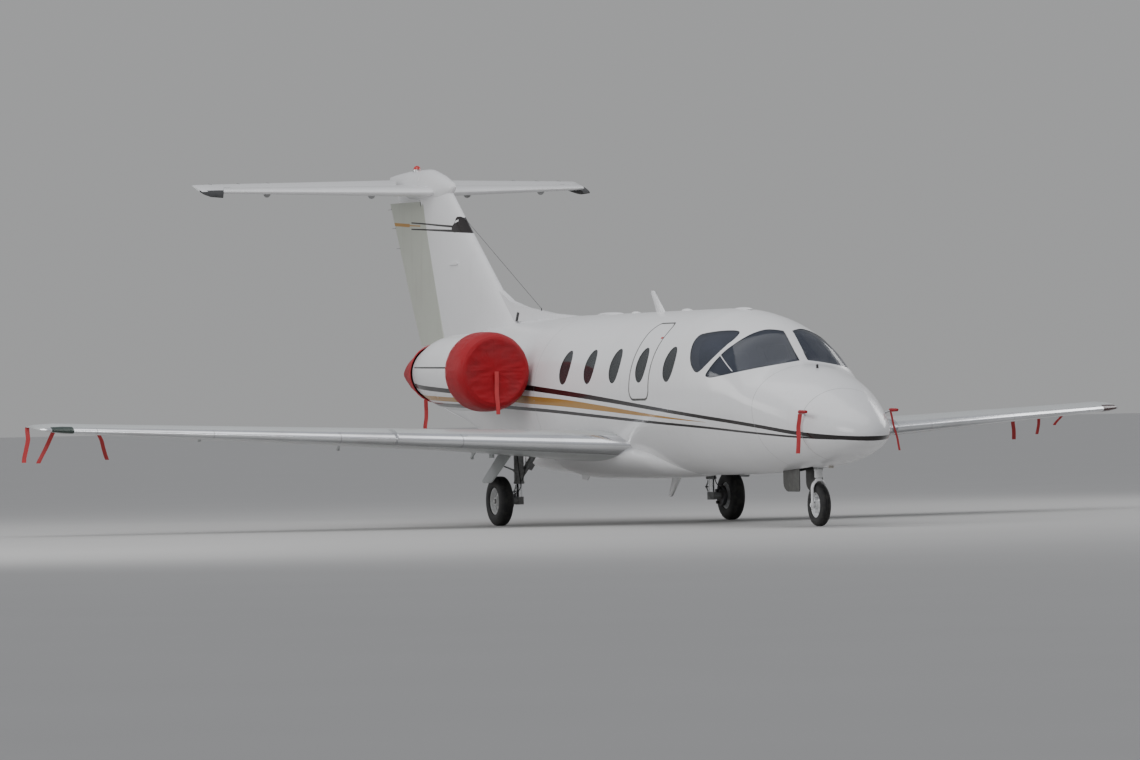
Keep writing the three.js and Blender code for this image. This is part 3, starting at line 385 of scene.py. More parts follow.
def buildWeave(tree, given):
    threads = []
    for turn in (0, math.pi / 2):
        spin = stretched(tree, given["Vector"], Rotation=(0, turn, turn))
        wave = addNode(tree, "ShaderNodeTexWave", {"bands_direction": "X"}, Vector=spin, Scale=given["Scale"],
                       Distortion=0.6, Detail=1)
        threads.append(wave.outputs["Fac"])
    return {"Height": maths(tree, "MULTIPLY", *threads)}


def buildGrain(tree, given):
    cells = addNode(tree, "ShaderNodeTexVoronoi", {"feature": "DISTANCE_TO_EDGE"}, Vector=given["Vector"],
                    Scale=given["Scale"])
    return {"Height": ramp(tree, cells.outputs[0], 0.0, 0.12), "Patches": cloudy(tree, given["Vector"], 8, 3)}


placeInput = ("Vector", "Vector")
bandGroup = shaderGroup("band across a value", [("Value", "Float", 0), ("Centre", "Float", 0),
                                                ("Half Width", "Float", 0.02)], ["Mask"], buildBand)
grimeGroup = shaderGroup("grime", [placeInput, ("Amount", "Float", 0.3)], ["Grime", "Waviness"], buildGrime)
weaveGroup = shaderGroup("woven cloth", [placeInput, ("Scale", "Float", 120)], ["Height"], buildWeave)
grainGroup = shaderGroup("leather grain", [placeInput, ("Scale", "Float", 260)], ["Height", "Patches"],
                         buildGrain)


def newMaterial(name):
    made = bpy.data.materials.new(name)
    made.use_nodes = True
    tree = made.node_tree
    tree.nodes.clear()
    shader = tree.nodes.new("ShaderNodeBsdfPrincipled")
    addNode(tree, "ShaderNodeOutputMaterial", Surface=shader.outputs[0])
    place = tree.nodes.new("ShaderNodeTexCoord").outputs["Object"]
    return made, tree, shader, place, addNode(tree, "ShaderNodeSeparateXYZ", Vector=place).outputs


def bump(tree, height, strength, distance):
    return addNode(tree, "ShaderNodeBump", Height=height, Strength=strength, Distance=distance).outputs[0]


def alongX(tree, x, points):
    # a height that follows the length of the aircraft, from points of x and z
    first, last = points[0][0], points[-1][0]
    low, high = min(p[1] for p in points), max(p[1] for p in points)
    share = addNode(tree, "ShaderNodeMapRange", Value=x, From_Min=first, From_Max=last).outputs[0]
    curve = addNode(tree, "ShaderNodeFloatCurve", Value=share)
    handles = curve.mapping.curves[0].points
    for i, (a, b) in enumerate(points):
        spot = ((a - first) / (last - first), (b - low) / (high - low))
        if i in (0, len(points) - 1):
            handles[0 if i == 0 else -1].location = spot
        else:
            handles.new(*spot)
    curve.mapping.update()
    return addNode(tree, "ShaderNodeMapRange", Value=curve.outputs[0], To_Min=low, To_Max=high).outputs[0]


def bandMask(tree, value, centre, half):
    return useGroup(tree, bandGroup, Value=value, Centre=centre, Half_Width=half)["Mask"]


colours = {
    "white": (0.83, 0.83, 0.84), "gold": (0.42, 0.22, 0.045), "black": (0.012, 0.008, 0.008),
    "soil": (0.36, 0.34, 0.31), "grey": (0.5, 0.52, 0.52), "rudder": (0.47, 0.49, 0.43),
    "red": (0.36, 0.004, 0.011), "ribbon": (0.58, 0.06, 0.065), "seam": (0.22, 0.22, 0.23),
}


def paintMaterial(name, base, bands=(), amount=0.25, seams=(), rough=0.22):
    # gloss paint; bands are (colour, mask builder), seams are stations along x
    made, tree, shader, place, axes = newMaterial(name)
    grime = useGroup(tree, grimeGroup, Vector=place, Amount=amount)
    colour = mixColour(tree, grime["Grime"], colours[base], colours["soil"])
    for shadeName, mask in bands:
        colour = mixColour(tree, mask(tree, axes), colour, colours[shadeName])
    height = maths(tree, "MULTIPLY", grime["Waviness"], 0.4)
    for station in seams:
        line = bandMask(tree, axes["X"], station, 0.0025)
        colour = mixColour(tree, maths(tree, "MULTIPLY", line, 0.75), colour, colours["seam"])
        height = maths(tree, "SUBTRACT", height, maths(tree, "MULTIPLY", line, 0.2))
    setInputs(shader, Base_Color=colour, Specular_IOR_Level=0.38, Coat_Weight=0.25, Coat_Roughness=0.06,
              Roughness=maths(tree, "MULTIPLY_ADD", grime["Grime"], 0.5, rough),
              Normal=bump(tree, height, 0.12, 0.006))
    return made


def between(points, halfWidths=None, half=0.02):
    # a painted band whose middle follows points of x and z
    def mask(tree, axes):
        width = half if halfWidths is None else alongX(tree, axes["X"], halfWidths)
        band = bandMask(tree, axes["Z"], alongX(tree, axes["X"], points), width)
        first, last = points[0][0], points[-1][0]
        return maths(tree, "MULTIPLY", band,
                     bandMask(tree, axes["X"], (first + last) / 2, (last - first) / 2))
    return mask


# Cheat lines along the fuselage, x and z of each middle and its half width
fuselageLines = {
    "upper": [(-5.7, 1.862), (-3.5, 1.745), (-0.86, 1.583), (0.52, 1.496), (1.73, 1.413), (3.18, 1.302),
              (4.5, 1.197), (5.66, 1.099), (6.76, 0.983), (7.38, 0.934)],
    "upperHalf": [(-5.7, 0.034), (0.5, 0.029), (4.5, 0.02), (6.5, 0.021), (7.38, 0.026)],
    "lower": [(-5.7, 1.57), (-1.77, 1.365), (0.15, 1.289), (1.64, 1.217), (3.07, 1.147), (4.41, 1.085),
              (5.59, 1.018), (6.8, 0.951), (7.38, 0.93)],
    "lowerHalf": [(-5.7, 0.022), (0.5, 0.019), (4.5, 0.013), (7.38, 0.01)],
    "middle": [(-5.7, 1.705), (-0.71, 1.431), (0.51, 1.38), (1.71, 1.311), (3.14, 1.219), (4.6, 1.135)],
    "middleHalf": [(-5.7, 0.055), (-0.71, 0.045), (0.51, 0.042), (1.71, 0.032), (3.14, 0.016), (4.6, 0.001)],
    "seams": (6.62, 5.75, -0.3, -3.2),
}
fuselageBands = [(shadeName, between(fuselageLines[line], fuselageLines[line + "Half"]))
                 for shadeName, line in (("black", "upper"), ("black", "lower"), ("gold", "middle"))]
fuselagePaint = paintMaterial("white gloss paint with cheat lines", "white", fuselageBands, 0.16,
                              fuselageLines["seams"])
plainPaint = paintMaterial("white gloss paint", "white", (), 0.18)
wingPaint = paintMaterial("light grey paint", "grey", (), 0.22, rough=0.32)

# The fin's two lines run into a flare with a pale eye at the leading edge
finBands = [
    ("black", between([(-6.2, 3.603), (-4.3, 3.487)], [(-6.2, 0.008), (-4.3, 0.015)])),
    ("black", between([(-6.2, 3.525), (-4.3, 3.445)], [(-6.2, 0.008), (-4.3, 0.017)])),
    ("gold", between([(-6.95, 3.612), (-6.25, 3.571)], half=0.02)),
    ("gold", between([(-6.27, 3.572), (-5.93, 3.556)], half=0.007)),
    ("black", between([(-4.85, 3.49), (-4.79, 3.51), (-4.74, 3.54), (-4.6, 3.525), (-4.3, 3.46)],
                      [(-4.85, 0.03), (-4.79, 0.055), (-4.74, 0.095), (-4.6, 0.085), (-4.3, 0.04)])),
    ("white", between([(-4.775, 3.572), (-4.7, 3.588)], half=0.013)),
]
finPaint = paintMaterial("white gloss paint with fin lines", "white", finBands, 0.14)
rudderPaint = paintMaterial("grey green rudder paint", "rudder", finBands, 0.55, rough=0.35)


def plainFinish(name, colour, rough, metal, second, speckle, bumpiness=0.0, coat=0.0):
    # one colour broken up by noise, with a little relief
    made, tree, shader, place, axes = newMaterial(name)
    fine, broad = cloudy(tree, place, speckle, 4, 0.6), cloudy(tree, place, speckle / 9, 3)
    mask = ramp(tree, maths(tree, "MULTIPLY_ADD", fine, 0.5, maths(tree, "MULTIPLY", broad, 0.5)), 0.38, 0.68)
    setInputs(shader, Base_Color=mixColour(tree, mask, colour, second), Metallic=metal, Coat_Weight=coat,
              Roughness=maths(tree, "MULTIPLY_ADD", mask, 0.14, rough))
    if bumpiness:
        setInputs(shader, Normal=bump(tree, fine, bumpiness, 0.004))
    return made


def polishedSkin():
    # bare metal leading edge: fine scratches along the span, dull patches, panel joints
    made, tree, shader, place, axes = newMaterial("polished metal skin")
    scratch = cloudy(tree, stretched(tree, place, Scale=(60, 2, 60)), 3, 4)
    patch = ramp(tree, cloudy(tree, place, 1.7, 4), 0.4, 0.75)
    colour = mixColour(tree, patch, (0.74, 0.75, 0.77), (0.62, 0.62, 0.63))
    for station in (2.35, 3.6, 4.9, 6.1):
        line = bandMask(tree, maths(tree, "ABSOLUTE", axes["Y"]), station, 0.003)
        colour = mixColour(tree, maths(tree, "MULTIPLY", line, 0.7), colour, (0.2, 0.2, 0.2))
    rough = maths(tree, "MULTIPLY_ADD", patch, 0.1, 0.12)
    setInputs(shader, Base_Color=colour, Metallic=1.0, Normal=bump(tree, scratch, 0.03, 0.002),
              Roughness=maths(tree, "MULTIPLY_ADD", scratch, 0.08, rough))
    return made


def vinylCloth(name, colour, scale=150, folds=0.5):
    # coated cloth: weave, soft creases and faded, soiled patches
    made, tree, shader, place, axes = newMaterial(name)
    weave = useGroup(tree, weaveGroup, Vector=place, Scale=scale)["Height"]
    pull = stretched(tree, place, Scale=(1, 1, 0.35), Rotation=(0.5, 0.3, 0))
    crease = cloudy(tree, pull, 4.5, 3, noise_type="RIDGED_MULTIFRACTAL")
    worn = ramp(tree, cloudy(tree, place, 3.2, 5, 0.6), 0.4, 0.75)
    tint = mixColour(tree, maths(tree, "MULTIPLY", worn, 0.55), colour,
                     tuple(0.62 * c + 0.03 for c in colour))
    height = maths(tree, "MULTIPLY_ADD", crease, folds, maths(tree, "MULTIPLY", weave, 0.05))
    setInputs(shader, Base_Color=tint, Roughness=maths(tree, "MULTIPLY_ADD", worn, 0.15, 0.46),
              Specular_IOR_Level=0.3, Normal=bump(tree, height, 0.35, 0.02))
    return made


def leatherFinish(name, colour):
    made, tree, shader, place, axes = newMaterial(name)
    grain = useGroup(tree, grainGroup, Vector=place, Scale=230)
    wear = ramp(tree, grain["Patches"], 0.42, 0.7)
    setInputs(shader, Base_Color=mixColour(tree, wear, colour, tuple(0.8 * c for c in colour)),
              Roughness=maths(tree, "MULTIPLY_ADD", wear, 0.12, 0.48),
              Normal=bump(tree, grain["Height"], 0.25, 0.0008))
    return made


def carpetFinish():
    made, tree, shader, place, axes = newMaterial("loop pile carpet")
    loops = addNode(tree, "ShaderNodeTexVoronoi", Vector=place, Scale=190).outputs[0]
    colour = mixColour(tree, cloudy(tree, place, 30, 4), (0.16, 0.145, 0.13), (0.25, 0.23, 0.205))
    setInputs(shader, Base_Color=colour, Roughness=maths(tree, "MULTIPLY_ADD", loops, 0.1, 0.88),
              Normal=bump(tree, loops, 0.6, 0.003))
    return made


def glazing(name, tint, alpha, rough=0.04):
    # stretched acrylic: tinted, with a faint haze and wipe marks
    made, tree, shader, place, axes = newMaterial(name)
    marks = ramp(tree, cloudy(tree, place, 2.2, 4), 0.45, 0.8)
    setInputs(shader, Base_Color=mixColour(tree, marks, tint, tuple(c * 1.25 for c in tint)),
              Roughness=maths(tree, "MULTIPLY_ADD", marks, 0.05, rough), IOR=1.49, Specular_IOR_Level=0.6,
              Alpha=maths(tree, "MULTIPLY_ADD", marks, 0.08, alpha))
    return made


def tyreRubber():
    # rubber: paler scuffed tread and a dusty sidewall
    made, tree, shader, place, axes = newMaterial("tyre rubber")
    dust = ramp(tree, cloudy(tree, place, 14, 5), 0.42, 0.72)
    ground = ramp(tree, axes["Z"], 0.16, 0.0)
    mask = maths(tree, "MAXIMUM", maths(tree, "MULTIPLY", dust, 0.7), maths(tree, "MULTIPLY", ground, 0.5))
    setInputs(shader, Base_Color=mixColour(tree, mask, (0.013, 0.013, 0.014), (0.06, 0.057, 0.052)),
              Roughness=maths(tree, "MULTIPLY_ADD", mask, 0.2, 0.62),
              Normal=bump(tree, cloudy(tree, place, 160), 0.25, 0.001))
    return made


# Material name, colour, roughness, metal, second colour, speckle scale, relief and clear coat
plainFinishes = {
    "rim": ("light grey wheel paint", (0.74, 0.75, 0.76), 0.33, 0.0, (0.6, 0.6, 0.59), 22, 0.05, 0.3),
    # dark grey: painted shade on the nose gear doors, and the exit outline's own grey
    "doorGrey": ("dark grey door paint", (0.1, 0.1, 0.093), 0.42, 0.0, (0.06, 0.06, 0.055), 14, 0.05),
    # grey darkened as painted shade: the main gear legs under the wing and the tail hinge fairings under the
    # tailplane
    "legGrey": ("grey gear leg enamel", (0.36, 0.365, 0.37), 0.36, 0.1, (0.2, 0.198, 0.19), 24, 0.08),
    "chrome": ("chromed piston", (0.8, 0.81, 0.82), 0.05, 1.0, (0.66, 0.66, 0.66), 30),
    "cast": ("cast brake metal", (0.13, 0.13, 0.14), 0.5, 0.7, (0.07, 0.06, 0.055), 45, 0.2),
    "aluminium": ("bare aluminium", (0.62, 0.63, 0.64), 0.3, 1.0, (0.45, 0.45, 0.45), 35, 0.06),
    "darkMetal": ("heat darkened metal", (0.12, 0.105, 0.095), 0.42, 1.0, (0.22, 0.17, 0.12), 9, 0.05),
    "rubber": ("black rubber seal", (0.016, 0.016, 0.017), 0.6, 0.0, (0.03, 0.03, 0.03), 90, 0.1),
    # dull black: painted shade on the pylons and the dorsal vent, and the colour of the other black parts
    "boot": ("dull black coating", (0.02, 0.02, 0.022), 0.45, 0.0, (0.045, 0.045, 0.045), 18, 0.05),
    "lining": ("ivory cabin lining", (0.5, 0.475, 0.43), 0.6, 0.0, (0.44, 0.415, 0.37), 60, 0.08),
    "panelPlastic": ("matt black panel", (0.018, 0.018, 0.02), 0.55, 0.0, (0.024, 0.024, 0.026), 300, 0.015),
    "hose": ("black hose", (0.02, 0.02, 0.02), 0.5, 0.0, (0.035, 0.035, 0.035), 80, 0.1),
    "redLens": ("red lens", (0.6, 0.02, 0.015), 0.12, 0.0, (0.45, 0.01, 0.01), 60, 0, 0.8),
    "clearLens": ("clear lens", (0.6, 0.62, 0.64), 0.08, 0.0, (0.45, 0.47, 0.5), 40, 0, 0.8),
    "bay": ("shadowed bay interior", (0.05, 0.052, 0.05), 0.7, 0.0, (0.03, 0.03, 0.03), 16, 0.1),
}
finishes = {name: plainFinish(*row) for name, row in plainFinishes.items()} | {
    "polished": polishedSkin(), "tyre": tyreRubber(), "carpet": carpetFinish(),
    "redVinyl": vinylCloth("red coated cloth", colours["red"]),
    "ribbonRed": vinylCloth("red webbing", colours["ribbon"], 320, 0.12),
    "seatLeather": leatherFinish("pale seat leather", (0.46, 0.4, 0.32)),
    "crewLeather": leatherFinish("grey crew seat leather", (0.17, 0.17, 0.18)),
    "cabinGlass": glazing("tinted cabin glass", (0.04, 0.046, 0.05), 0.66),
    "cockpitGlass": glazing("cockpit glass", (0.035, 0.045, 0.07), 0.6),
    "screenGlass": glazing("display glass", (0.012, 0.014, 0.02), 0.95, 0.12),
}
print("materials made")


# Curves swept along paths and heads set on points, by Geometry Nodes

def geometryTree(name, sizes):
    tree = bpy.data.node_groups.new(name, "GeometryNodeTree")
    addSockets(tree, "INPUT", [("Geometry", "Geometry")] + [(label, "Float", size) for label, size in sizes]
               + [("Sides", "Int", 8), ("Finish", "Material")])
    addSockets(tree, "OUTPUT", [("Geometry", "Geometry")])
    add = lambda kind, settings=None, **values: addNode(tree, kind, settings, **values).outputs
    return tree, tree.nodes.new("NodeGroupInput").outputs, add


def finishTree(tree, given, shape):
    whole = addNode(tree, "GeometryNodeRealizeInstances", Geometry=shape).outputs[0]
    finished = addNode(tree, "GeometryNodeSetMaterial", Geometry=whole, Material=given["Finish"]).outputs[0]
    addNode(tree, "NodeGroupOutput", Geometry=finished)
    return tree


def sweepTree():
    tree, given, add = geometryTree("bead along a path", [("Width", 0.01), ("Height", 0.006)])
    curve = add("GeometryNodeMeshToCurve", Mesh=given["Geometry"])[0]
    size = add("ShaderNodeCombineXYZ", X=given["Width"], Y=given["Height"], Z=1)[0]
    hoopCurve = add("GeometryNodeCurvePrimitiveCircle", Resolution=given["Sides"], Radius=0.5)[0]
    profile = add("GeometryNodeTransform", Geometry=hoopCurve, Scale=size)[0]
    swept = add("GeometryNodeCurveToMesh", Curve=curve, Profile_Curve=profile, Fill_Caps=True)[0]
    return finishTree(tree, given, swept)


def scatterTree():
    # a small head set on every face of a mesh, turned to the face's normal
    tree, given, add = geometryTree("heads on points", [("Radius", 0.004), ("Height", 0.001)])
    store = tree.nodes.new("GeometryNodeCaptureAttribute")
    store.capture_items.new("VECTOR", "Normal")
    store.domain = "FACE"
    setInputs(store, Geometry=given["Geometry"], Normal=add("GeometryNodeInputNormal")[0])
    points = add("GeometryNodeMeshToPoints", {"mode": "FACES"}, Mesh=store.outputs["Geometry"])[0]
    turn = add("FunctionNodeAlignRotationToVector", {"axis": "Z"}, Vector=store.outputs["Normal"])[0]
    head = add("GeometryNodeMeshCylinder", Vertices=given["Sides"], Radius=given["Radius"],
               Depth=given["Height"])["Mesh"]
    return finishTree(tree, given, add("GeometryNodeInstanceOnPoints", Points=points, Instance=head,
                                       Rotation=turn)[0])


def runTree(tree, base, **values):
    # applies a tree to a mesh through a modifier, and returns the plain mesh that comes out
    carrier = newObject("carrier", base)
    step = carrier.modifiers.new("nodes", "NODES")
    step.node_group = tree
    sockets = {item.name: item.identifier for item in tree.interface.items_tree if item.in_out == "INPUT"}
    for key, value in values.items():
        step[sockets[key]] = value
    carrier.update_tag()
    graph = bpy.context.evaluated_depsgraph_get()
    result = bpy.data.meshes.new_from_object(carrier.evaluated_get(graph))
    carrier.modifiers.remove(step)
    bpy.data.objects.remove(carrier)
    return result


sweepNodes, scatterNodes = sweepTree(), scatterTree()


def bead(points, width, height, finish, closed=False, sides=8):
    path = bpy.data.meshes.new("path")
    edges = [(i, i + 1) for i in range(len(points) - 1)] + ([(len(points) - 1, 0)] if closed else [])
    path.from_pydata([tuple(p) for p in points], edges, [])
    shape = runTree(sweepNodes, path, Width=width, Height=height, Sides=sides, Finish=finishOf(finish))
    shape.shade_smooth()
    return outward(shape)


def heads(points, normals, radius, height, finish, sides=8):
    # points with normals, carried by tiny triangles whose own normal is the wanted one
    corners, faces = [], []
    for spot, normal in zip(points, normals):
        a = Vector(normal).orthogonal().normalized() * 1e-4
        b = Vector(normal).cross(a).normalized() * 1e-4
        faces.append([len(corners), len(corners) + 1, len(corners) + 2])
        corners += [Vector(spot) + a, Vector(spot) - a * 0.5 + b * 0.87, Vector(spot) - a * 0.5 - b * 0.87]
    base = meshFrom("spots", corners, faces)
    return runTree(scatterNodes, base, Radius=radius, Height=height, Sides=sides, Finish=finishOf(finish))


# Fuselage

hullStations = [
    (7.375, 0.962, 0.958, 0, 0.96), (7.352, 1.032, 0.905, 0.085, 0.965), (7.29, 1.11, 0.868, 0.182, 0.975),
    (7.18, 1.195, 0.83, 0.272, 0.99), (7.0, 1.29, 0.765, 0.368, 1.015), (6.7, 1.435, 0.7, 0.478, 1.065),
    (6.3, 1.6, 0.648, 0.585, 1.15), (5.95, 1.694, 0.622, 0.655, 1.23), (5.6, 1.775, 0.602, 0.712, 1.31),
    (5.38, 1.945, 0.588, 0.74, 1.36), (5.15, 2.115, 0.578, 0.762, 1.4), (4.85, 2.22, 0.568, 0.79, 1.44),
    (4.5, 2.3, 0.56, 0.812, 1.47), (4.0, 2.362, 0.552, 0.834, 1.495), (3.5, 2.378, 0.548, 0.84, 1.5),
    (-0.5, 2.378, 0.56, 0.84, 1.5), (-1.5, 2.37, 0.628, 0.8, 1.51), (-2.3, 2.352, 0.74, 0.722, 1.535),
    (-3.2, 2.312, 0.925, 0.598, 1.575), (-4.1, 2.24, 1.13, 0.452, 1.625), (-5.0, 2.12, 1.29, 0.3, 1.68),
    (-5.6, 2.0, 1.42, 0.18, 1.715), (-5.78, 1.93, 1.5, 0.11, 1.715),
]
hullAt = sampler(("x", "crown", "keel", "halfWidth", "widest"), hullStations)
fuselage = {
    "sides": 112, "wall": 0.09, "floorTop": 0.85, "seamGap": 0.0008, "noseRound": 7.29, "noseTip": 7.375,
    "tipHeight": 0.96, "tipRings": 12, "tipStep": 0.0014, "tipEnd": 7.19,
    "noseConeEnd": 6.62, "frontBulkhead": 5.75, "aftBulkhead": -0.3, "cabinAft": -0.21, "tailEnd": -5.78,
    "bay": ((5.25, -0.125, 0.3), (6.05, 0.125, 0.8)),
    "cabinFront": 5.64, "tailHollow": -5.0, "doorHinge": (3.812, 0.872), "hingeHeights": (1.18, 1.85),
    "lugThick": {"shell": 0.03, "door": 0.024}, "prong": ((6.26, 0, 0.76), (6.26, 0, 0.6225), 0.028),
    "shellLug": [(-.009, .009), (.009, .009), (.06, -.05), (.06, -.2), (.014, -.2), (.014, -.034),
                 (-.009, -.009)],
    "doorLug": [(-.009, .009), (.009, .009), (.009, -.009), (-.022, -.034), (-.022, -.15), (-.07, -.15),
                (-.07, -.034)],
    "strake": [(-3.85, 1.18), (-4.06, 1.085), (-5.23, 1.3), (-5.64, 1.41), (-5.64, 1.56)],
}


def sectionOf(x):
    # nearer the tip than the last full station the nose is round, so its sizes follow a square root
    s, f = hullAt(x), fuselage
    if x > f["noseRound"]:
        t = hullAt(f["noseRound"])
        share = (f["noseTip"] - x) / (f["noseTip"] - f["noseRound"])
        root = math.sqrt(max(share, 0))
        middle = f["tipHeight"] + (t["widest"] - f["tipHeight"]) * share
        s = {"halfWidth": t["halfWidth"] * root, "widest": middle,
             "crown": middle + (t["crown"] - t["widest"]) * root,
             "keel": middle - (t["widest"] - t["keel"]) * root}
    return s


def hoopPoint(s, x, a, inset=0.0):
    # a point of a section, at an angle from its crown
    tall = s["crown"] - s["widest"] if math.cos(a) > 0 else s["widest"] - s["keel"]
    return Vector((x, (s["halfWidth"] - inset) * math.sin(a), s["widest"] + (tall - inset) * math.cos(a)))


def hoop(s, x, inset, sides):
    if s["halfWidth"] < 1e-4:
        return [Vector((x, 0, s["widest"]))]
    return [hoopPoint(s, x, a, inset) for a in anglesAround(sides)]


def stationsBetween(low, high, step=0.06):
    count = max(round((high - low) / step), 1)
    return [high + (low - high) * i / count for i in range(count + 1)]


def hull(low, high, inset=0.0, step=0.06):
    stations, f = stationsBetween(low, high, step), fuselage
    if high == f["noseTip"]:
        stations = ([high - f["tipStep"] * i * i for i in range(f["tipRings"])]
                    + [x for x in stations if x < f["tipEnd"]])
    return loft([hoop(sectionOf(x), x, inset, f["sides"]) for x in stations])


def bandBetween(low, high, outer, inner):
    # the wall between two depths under the skin
    return carve(hull(low, high, outer), minus(hull(low - 0.02, high + 0.02, inner)))


def hullPoint(x, angle, lift=0.0):
    # a skin point at an angle in degrees from the crown towards port, and its outward normal
    a, step = math.radians(angle), 0.01
    on = lambda u, turn: hoopPoint(sectionOf(u), u, turn)
    spot = on(x, a)
    normal = (on(x, a + step) - on(x, a - step)).cross(on(x + step, a) - on(x - step, a)).normalized()
    if normal.dot(spot - Vector((x, 0, sectionOf(x)["widest"]))) < 0:
        normal.negate()
    return spot + normal * lift, normal


def skinAt(x, z, side=-1, lift=0.0):
    # the skin point at a station and height on one side
    s = sectionOf(x)
    tall = s["crown"] - s["widest"] if z > s["widest"] else s["widest"] - s["keel"]
    share = max(min((z - s["widest"]) / tall, 1), -1)
    angle = math.degrees(math.acos(share)) * side
    return hullPoint(x, angle, lift)


def roundCorners(outline, radius, steps=8):
    # each corner of an outline becomes an arc
    points = []
    count = len(outline)
    for i in range(count):
        before, spot, after = (Vector((*outline[(i + k) % count], 0)) for k in (-1, 0, 1))
        a, b = (before - spot), (after - spot)
        reach = min(radius[i] if isinstance(radius, (list, tuple)) else radius, a.length * 0.48,
                    b.length * 0.48)
        start, end = spot + a.normalized() * reach, spot + b.normalized() * reach
        for k in range(steps + 1):
            t = k / steps
            p = start * (1 - t) ** 2 + spot * 2 * t * (1 - t) + end * t * t
            points.append((p.x, p.y))
    return points


def densify(outline, step):
    points = []
    for i, (a, b) in enumerate(outline):
        c, d = outline[(i + 1) % len(outline)]
        count = max(int(math.hypot(c - a, d - b) / step), 1)
        points += [(a + (c - a) * k / count, b + (d - b) * k / count) for k in range(count)]
    return points


# Openings, as outlines in x and z; the windshield's plane is turned with the nose
openings = {
    "ovalSize": (0.3, 0.385), "ovalCentre": 1.775, "stations": (0.59, 1.34, 2.1), "forwardOval": 3.69,
    "exitOval": 2.89, "doorOval": 3.45, "recess": 0.004, "pane": 0.02,
    "exit": (2.61, 3.17, 1.4, 2.23, 0.11), "door": (3.1, 3.8, 0.88, 2.15, 0.06), "doorGap": 0.006,
    "heading": 68.5, "centrePost": 0.1, "paneGap": 0.0008, "sealSunk": -0.003, "seal": (0.011, 0.005),
    "exitLine": (0.034, 0.009),
    "quarter": [(4.092, 2.02), (4.106, 2.074), (4.15, 2.095), (4.34, 2.116), (4.56, 2.126), (4.735, 2.124),
                (4.825, 2.108), (4.868, 2.072), (4.876, 2.02), (4.796, 1.892), (4.665, 1.776), (4.555, 1.703),
                (4.48, 1.677), (4.41, 1.688), (4.292, 1.752), (4.195, 1.848), (4.125, 1.945)],
    "windshield": [(2.06, 2.03), (1.9, 2.095), (1.76, 2.123), (1.646, 2.129), (1.504, 2.086), (1.373, 2.018),
                   (1.209, 1.907), (1.078, 1.775), (1.003, 1.67), (0.986, 1.632), (1.03, 1.615),
                   (1.094, 1.622), (1.304, 1.665), (1.517, 1.705), (1.786, 1.747), (2.09, 1.794)],
}


def ovalOutline(x, grow=0.0, count=48):
    w, h = openings["ovalSize"]
    return [(x + (w / 2 + grow) * math.cos(a), openings["ovalCentre"] + (h / 2 + grow) * math.sin(a))
            for a in anglesAround(count)]


def frameOutline(spec, grow=0.0, steps=10):
    aft, front, low, high, corner = spec
    corners = ((front - corner, high - corner, 0), (aft + corner, high - corner, 90),
               (aft + corner, low + corner, 180), (front - corner, low + corner, 270))
    return [(x + (corner + grow) * math.cos(math.radians(start + 90 * i / steps)),
             z + (corner + grow) * math.sin(math.radians(start + 90 * i / steps)))
            for x, z, start in corners for i in range(steps + 1)]


def growOutline(outline, grow):
    # moves a counter-clockwise or clockwise outline outwards
    area = sum(a[0] * b[1] - b[0] * a[1] for a, b in zip(outline, outline[1:] + outline[:1]))
    sign = 1 if area > 0 else -1
    grown = []
    count = len(outline)
    for i in range(count):
        a, b = outline[i - 1], outline[(i + 1) % count]
        direction = Vector((b[0] - a[0], b[1] - a[1], 0)).normalized()
        grown.append((outline[i][0] + sign * grow * direction.y, outline[i][1] - sign * grow * direction.x))
    return grown


windshieldLine = roundCorners(openings["windshield"], 0.06, 4)
heading = math.radians(openings["heading"])
windshieldAcross = Vector((math.cos(heading), math.sin(heading), 0))


def windshieldCutter(grow=0.0):
    solid = prism(growOutline(windshieldLine, grow), windshieldAcross, zAxis, (0, 0, 0), -6, 6)
    post = openings["centrePost"] / 2 - grow
    return carve(solid, within(block((3.5, -2, 1.4), (6.2, -post, 2.4))))


starboard = lambda outline: sidePlate(outline, -2, -0.2)
port = lambda outline: sidePlate(outline, 0.2, 2)
quarterLine = roundCorners(openings["quarter"], 0.1, 4)


def doorSector(gap):
    aft, front, low, high, bevel = openings["door"]
    plan = [(aft - gap, 1), (aft - gap, 0.86), (aft + bevel - gap, 0.56), (aft + bevel - gap, 0.3),
            (front + gap, 0.3), (front + gap, 1)]
    return prism(plan, xAxis, yAxis, (0, 0, 0), low - gap, high + gap)


def hingePlate(plan, low, thickness):
    x, y = fuselage["doorHinge"]
    return prism([(x + a, y + b) for a, b in plan], xAxis, yAxis, (0, 0, 0), low, low + thickness)


f = fuselage
thick = f["lugThick"]
shellLugs = [hingePlate(f["shellLug"], z, thick["shell"]) for z in f["hingeHeights"]]
doorLugs = [hingePlate(f["doorLug"], z + thick["shell"] + touchGap, thick["door"]) for z in f["hingeHeights"]]
skinGuide = hull(f["tailEnd"], f["noseTip"], 0.0, 0.04)
liningGuide = hull(-0.5, 5.9, f["wall"], 0.04)
aboveFloor = block((-9, -9, f["floorTop"] - 0.02), (9, 9, 9))
hollow = carve(hull(f["cabinAft"], f["cabinFront"], f["wall"]), within(aboveFloor))
bay = block(*f["bay"])
openingCutters = [
    doorSector(openings["doorGap"]), starboard(frameOutline(openings["exit"], 0.004)),
    windshieldCutter(), mirrored(windshieldCutter()), starboard(quarterLine), port(quarterLine),
    port(ovalOutline(openings["exitOval"])), starboard(ovalOutline(openings["forwardOval"])),
] + [cutter(ovalOutline(x)) for x in openings["stations"] for cutter in (starboard, port)]
skinTree = BVHTree.FromPolygons([v.co for v in skinGuide.vertices],
                                [tuple(p.vertices) for p in skinGuide.polygons])


def lineInside(mesh, depth=0.006, index=1):
    # faces that lie deeper than the skin take the second material
    for polygon in mesh.polygons:
        if skinTree.find_nearest(polygon.center)[3] > depth:
            polygon.material_index = index
    return mesh


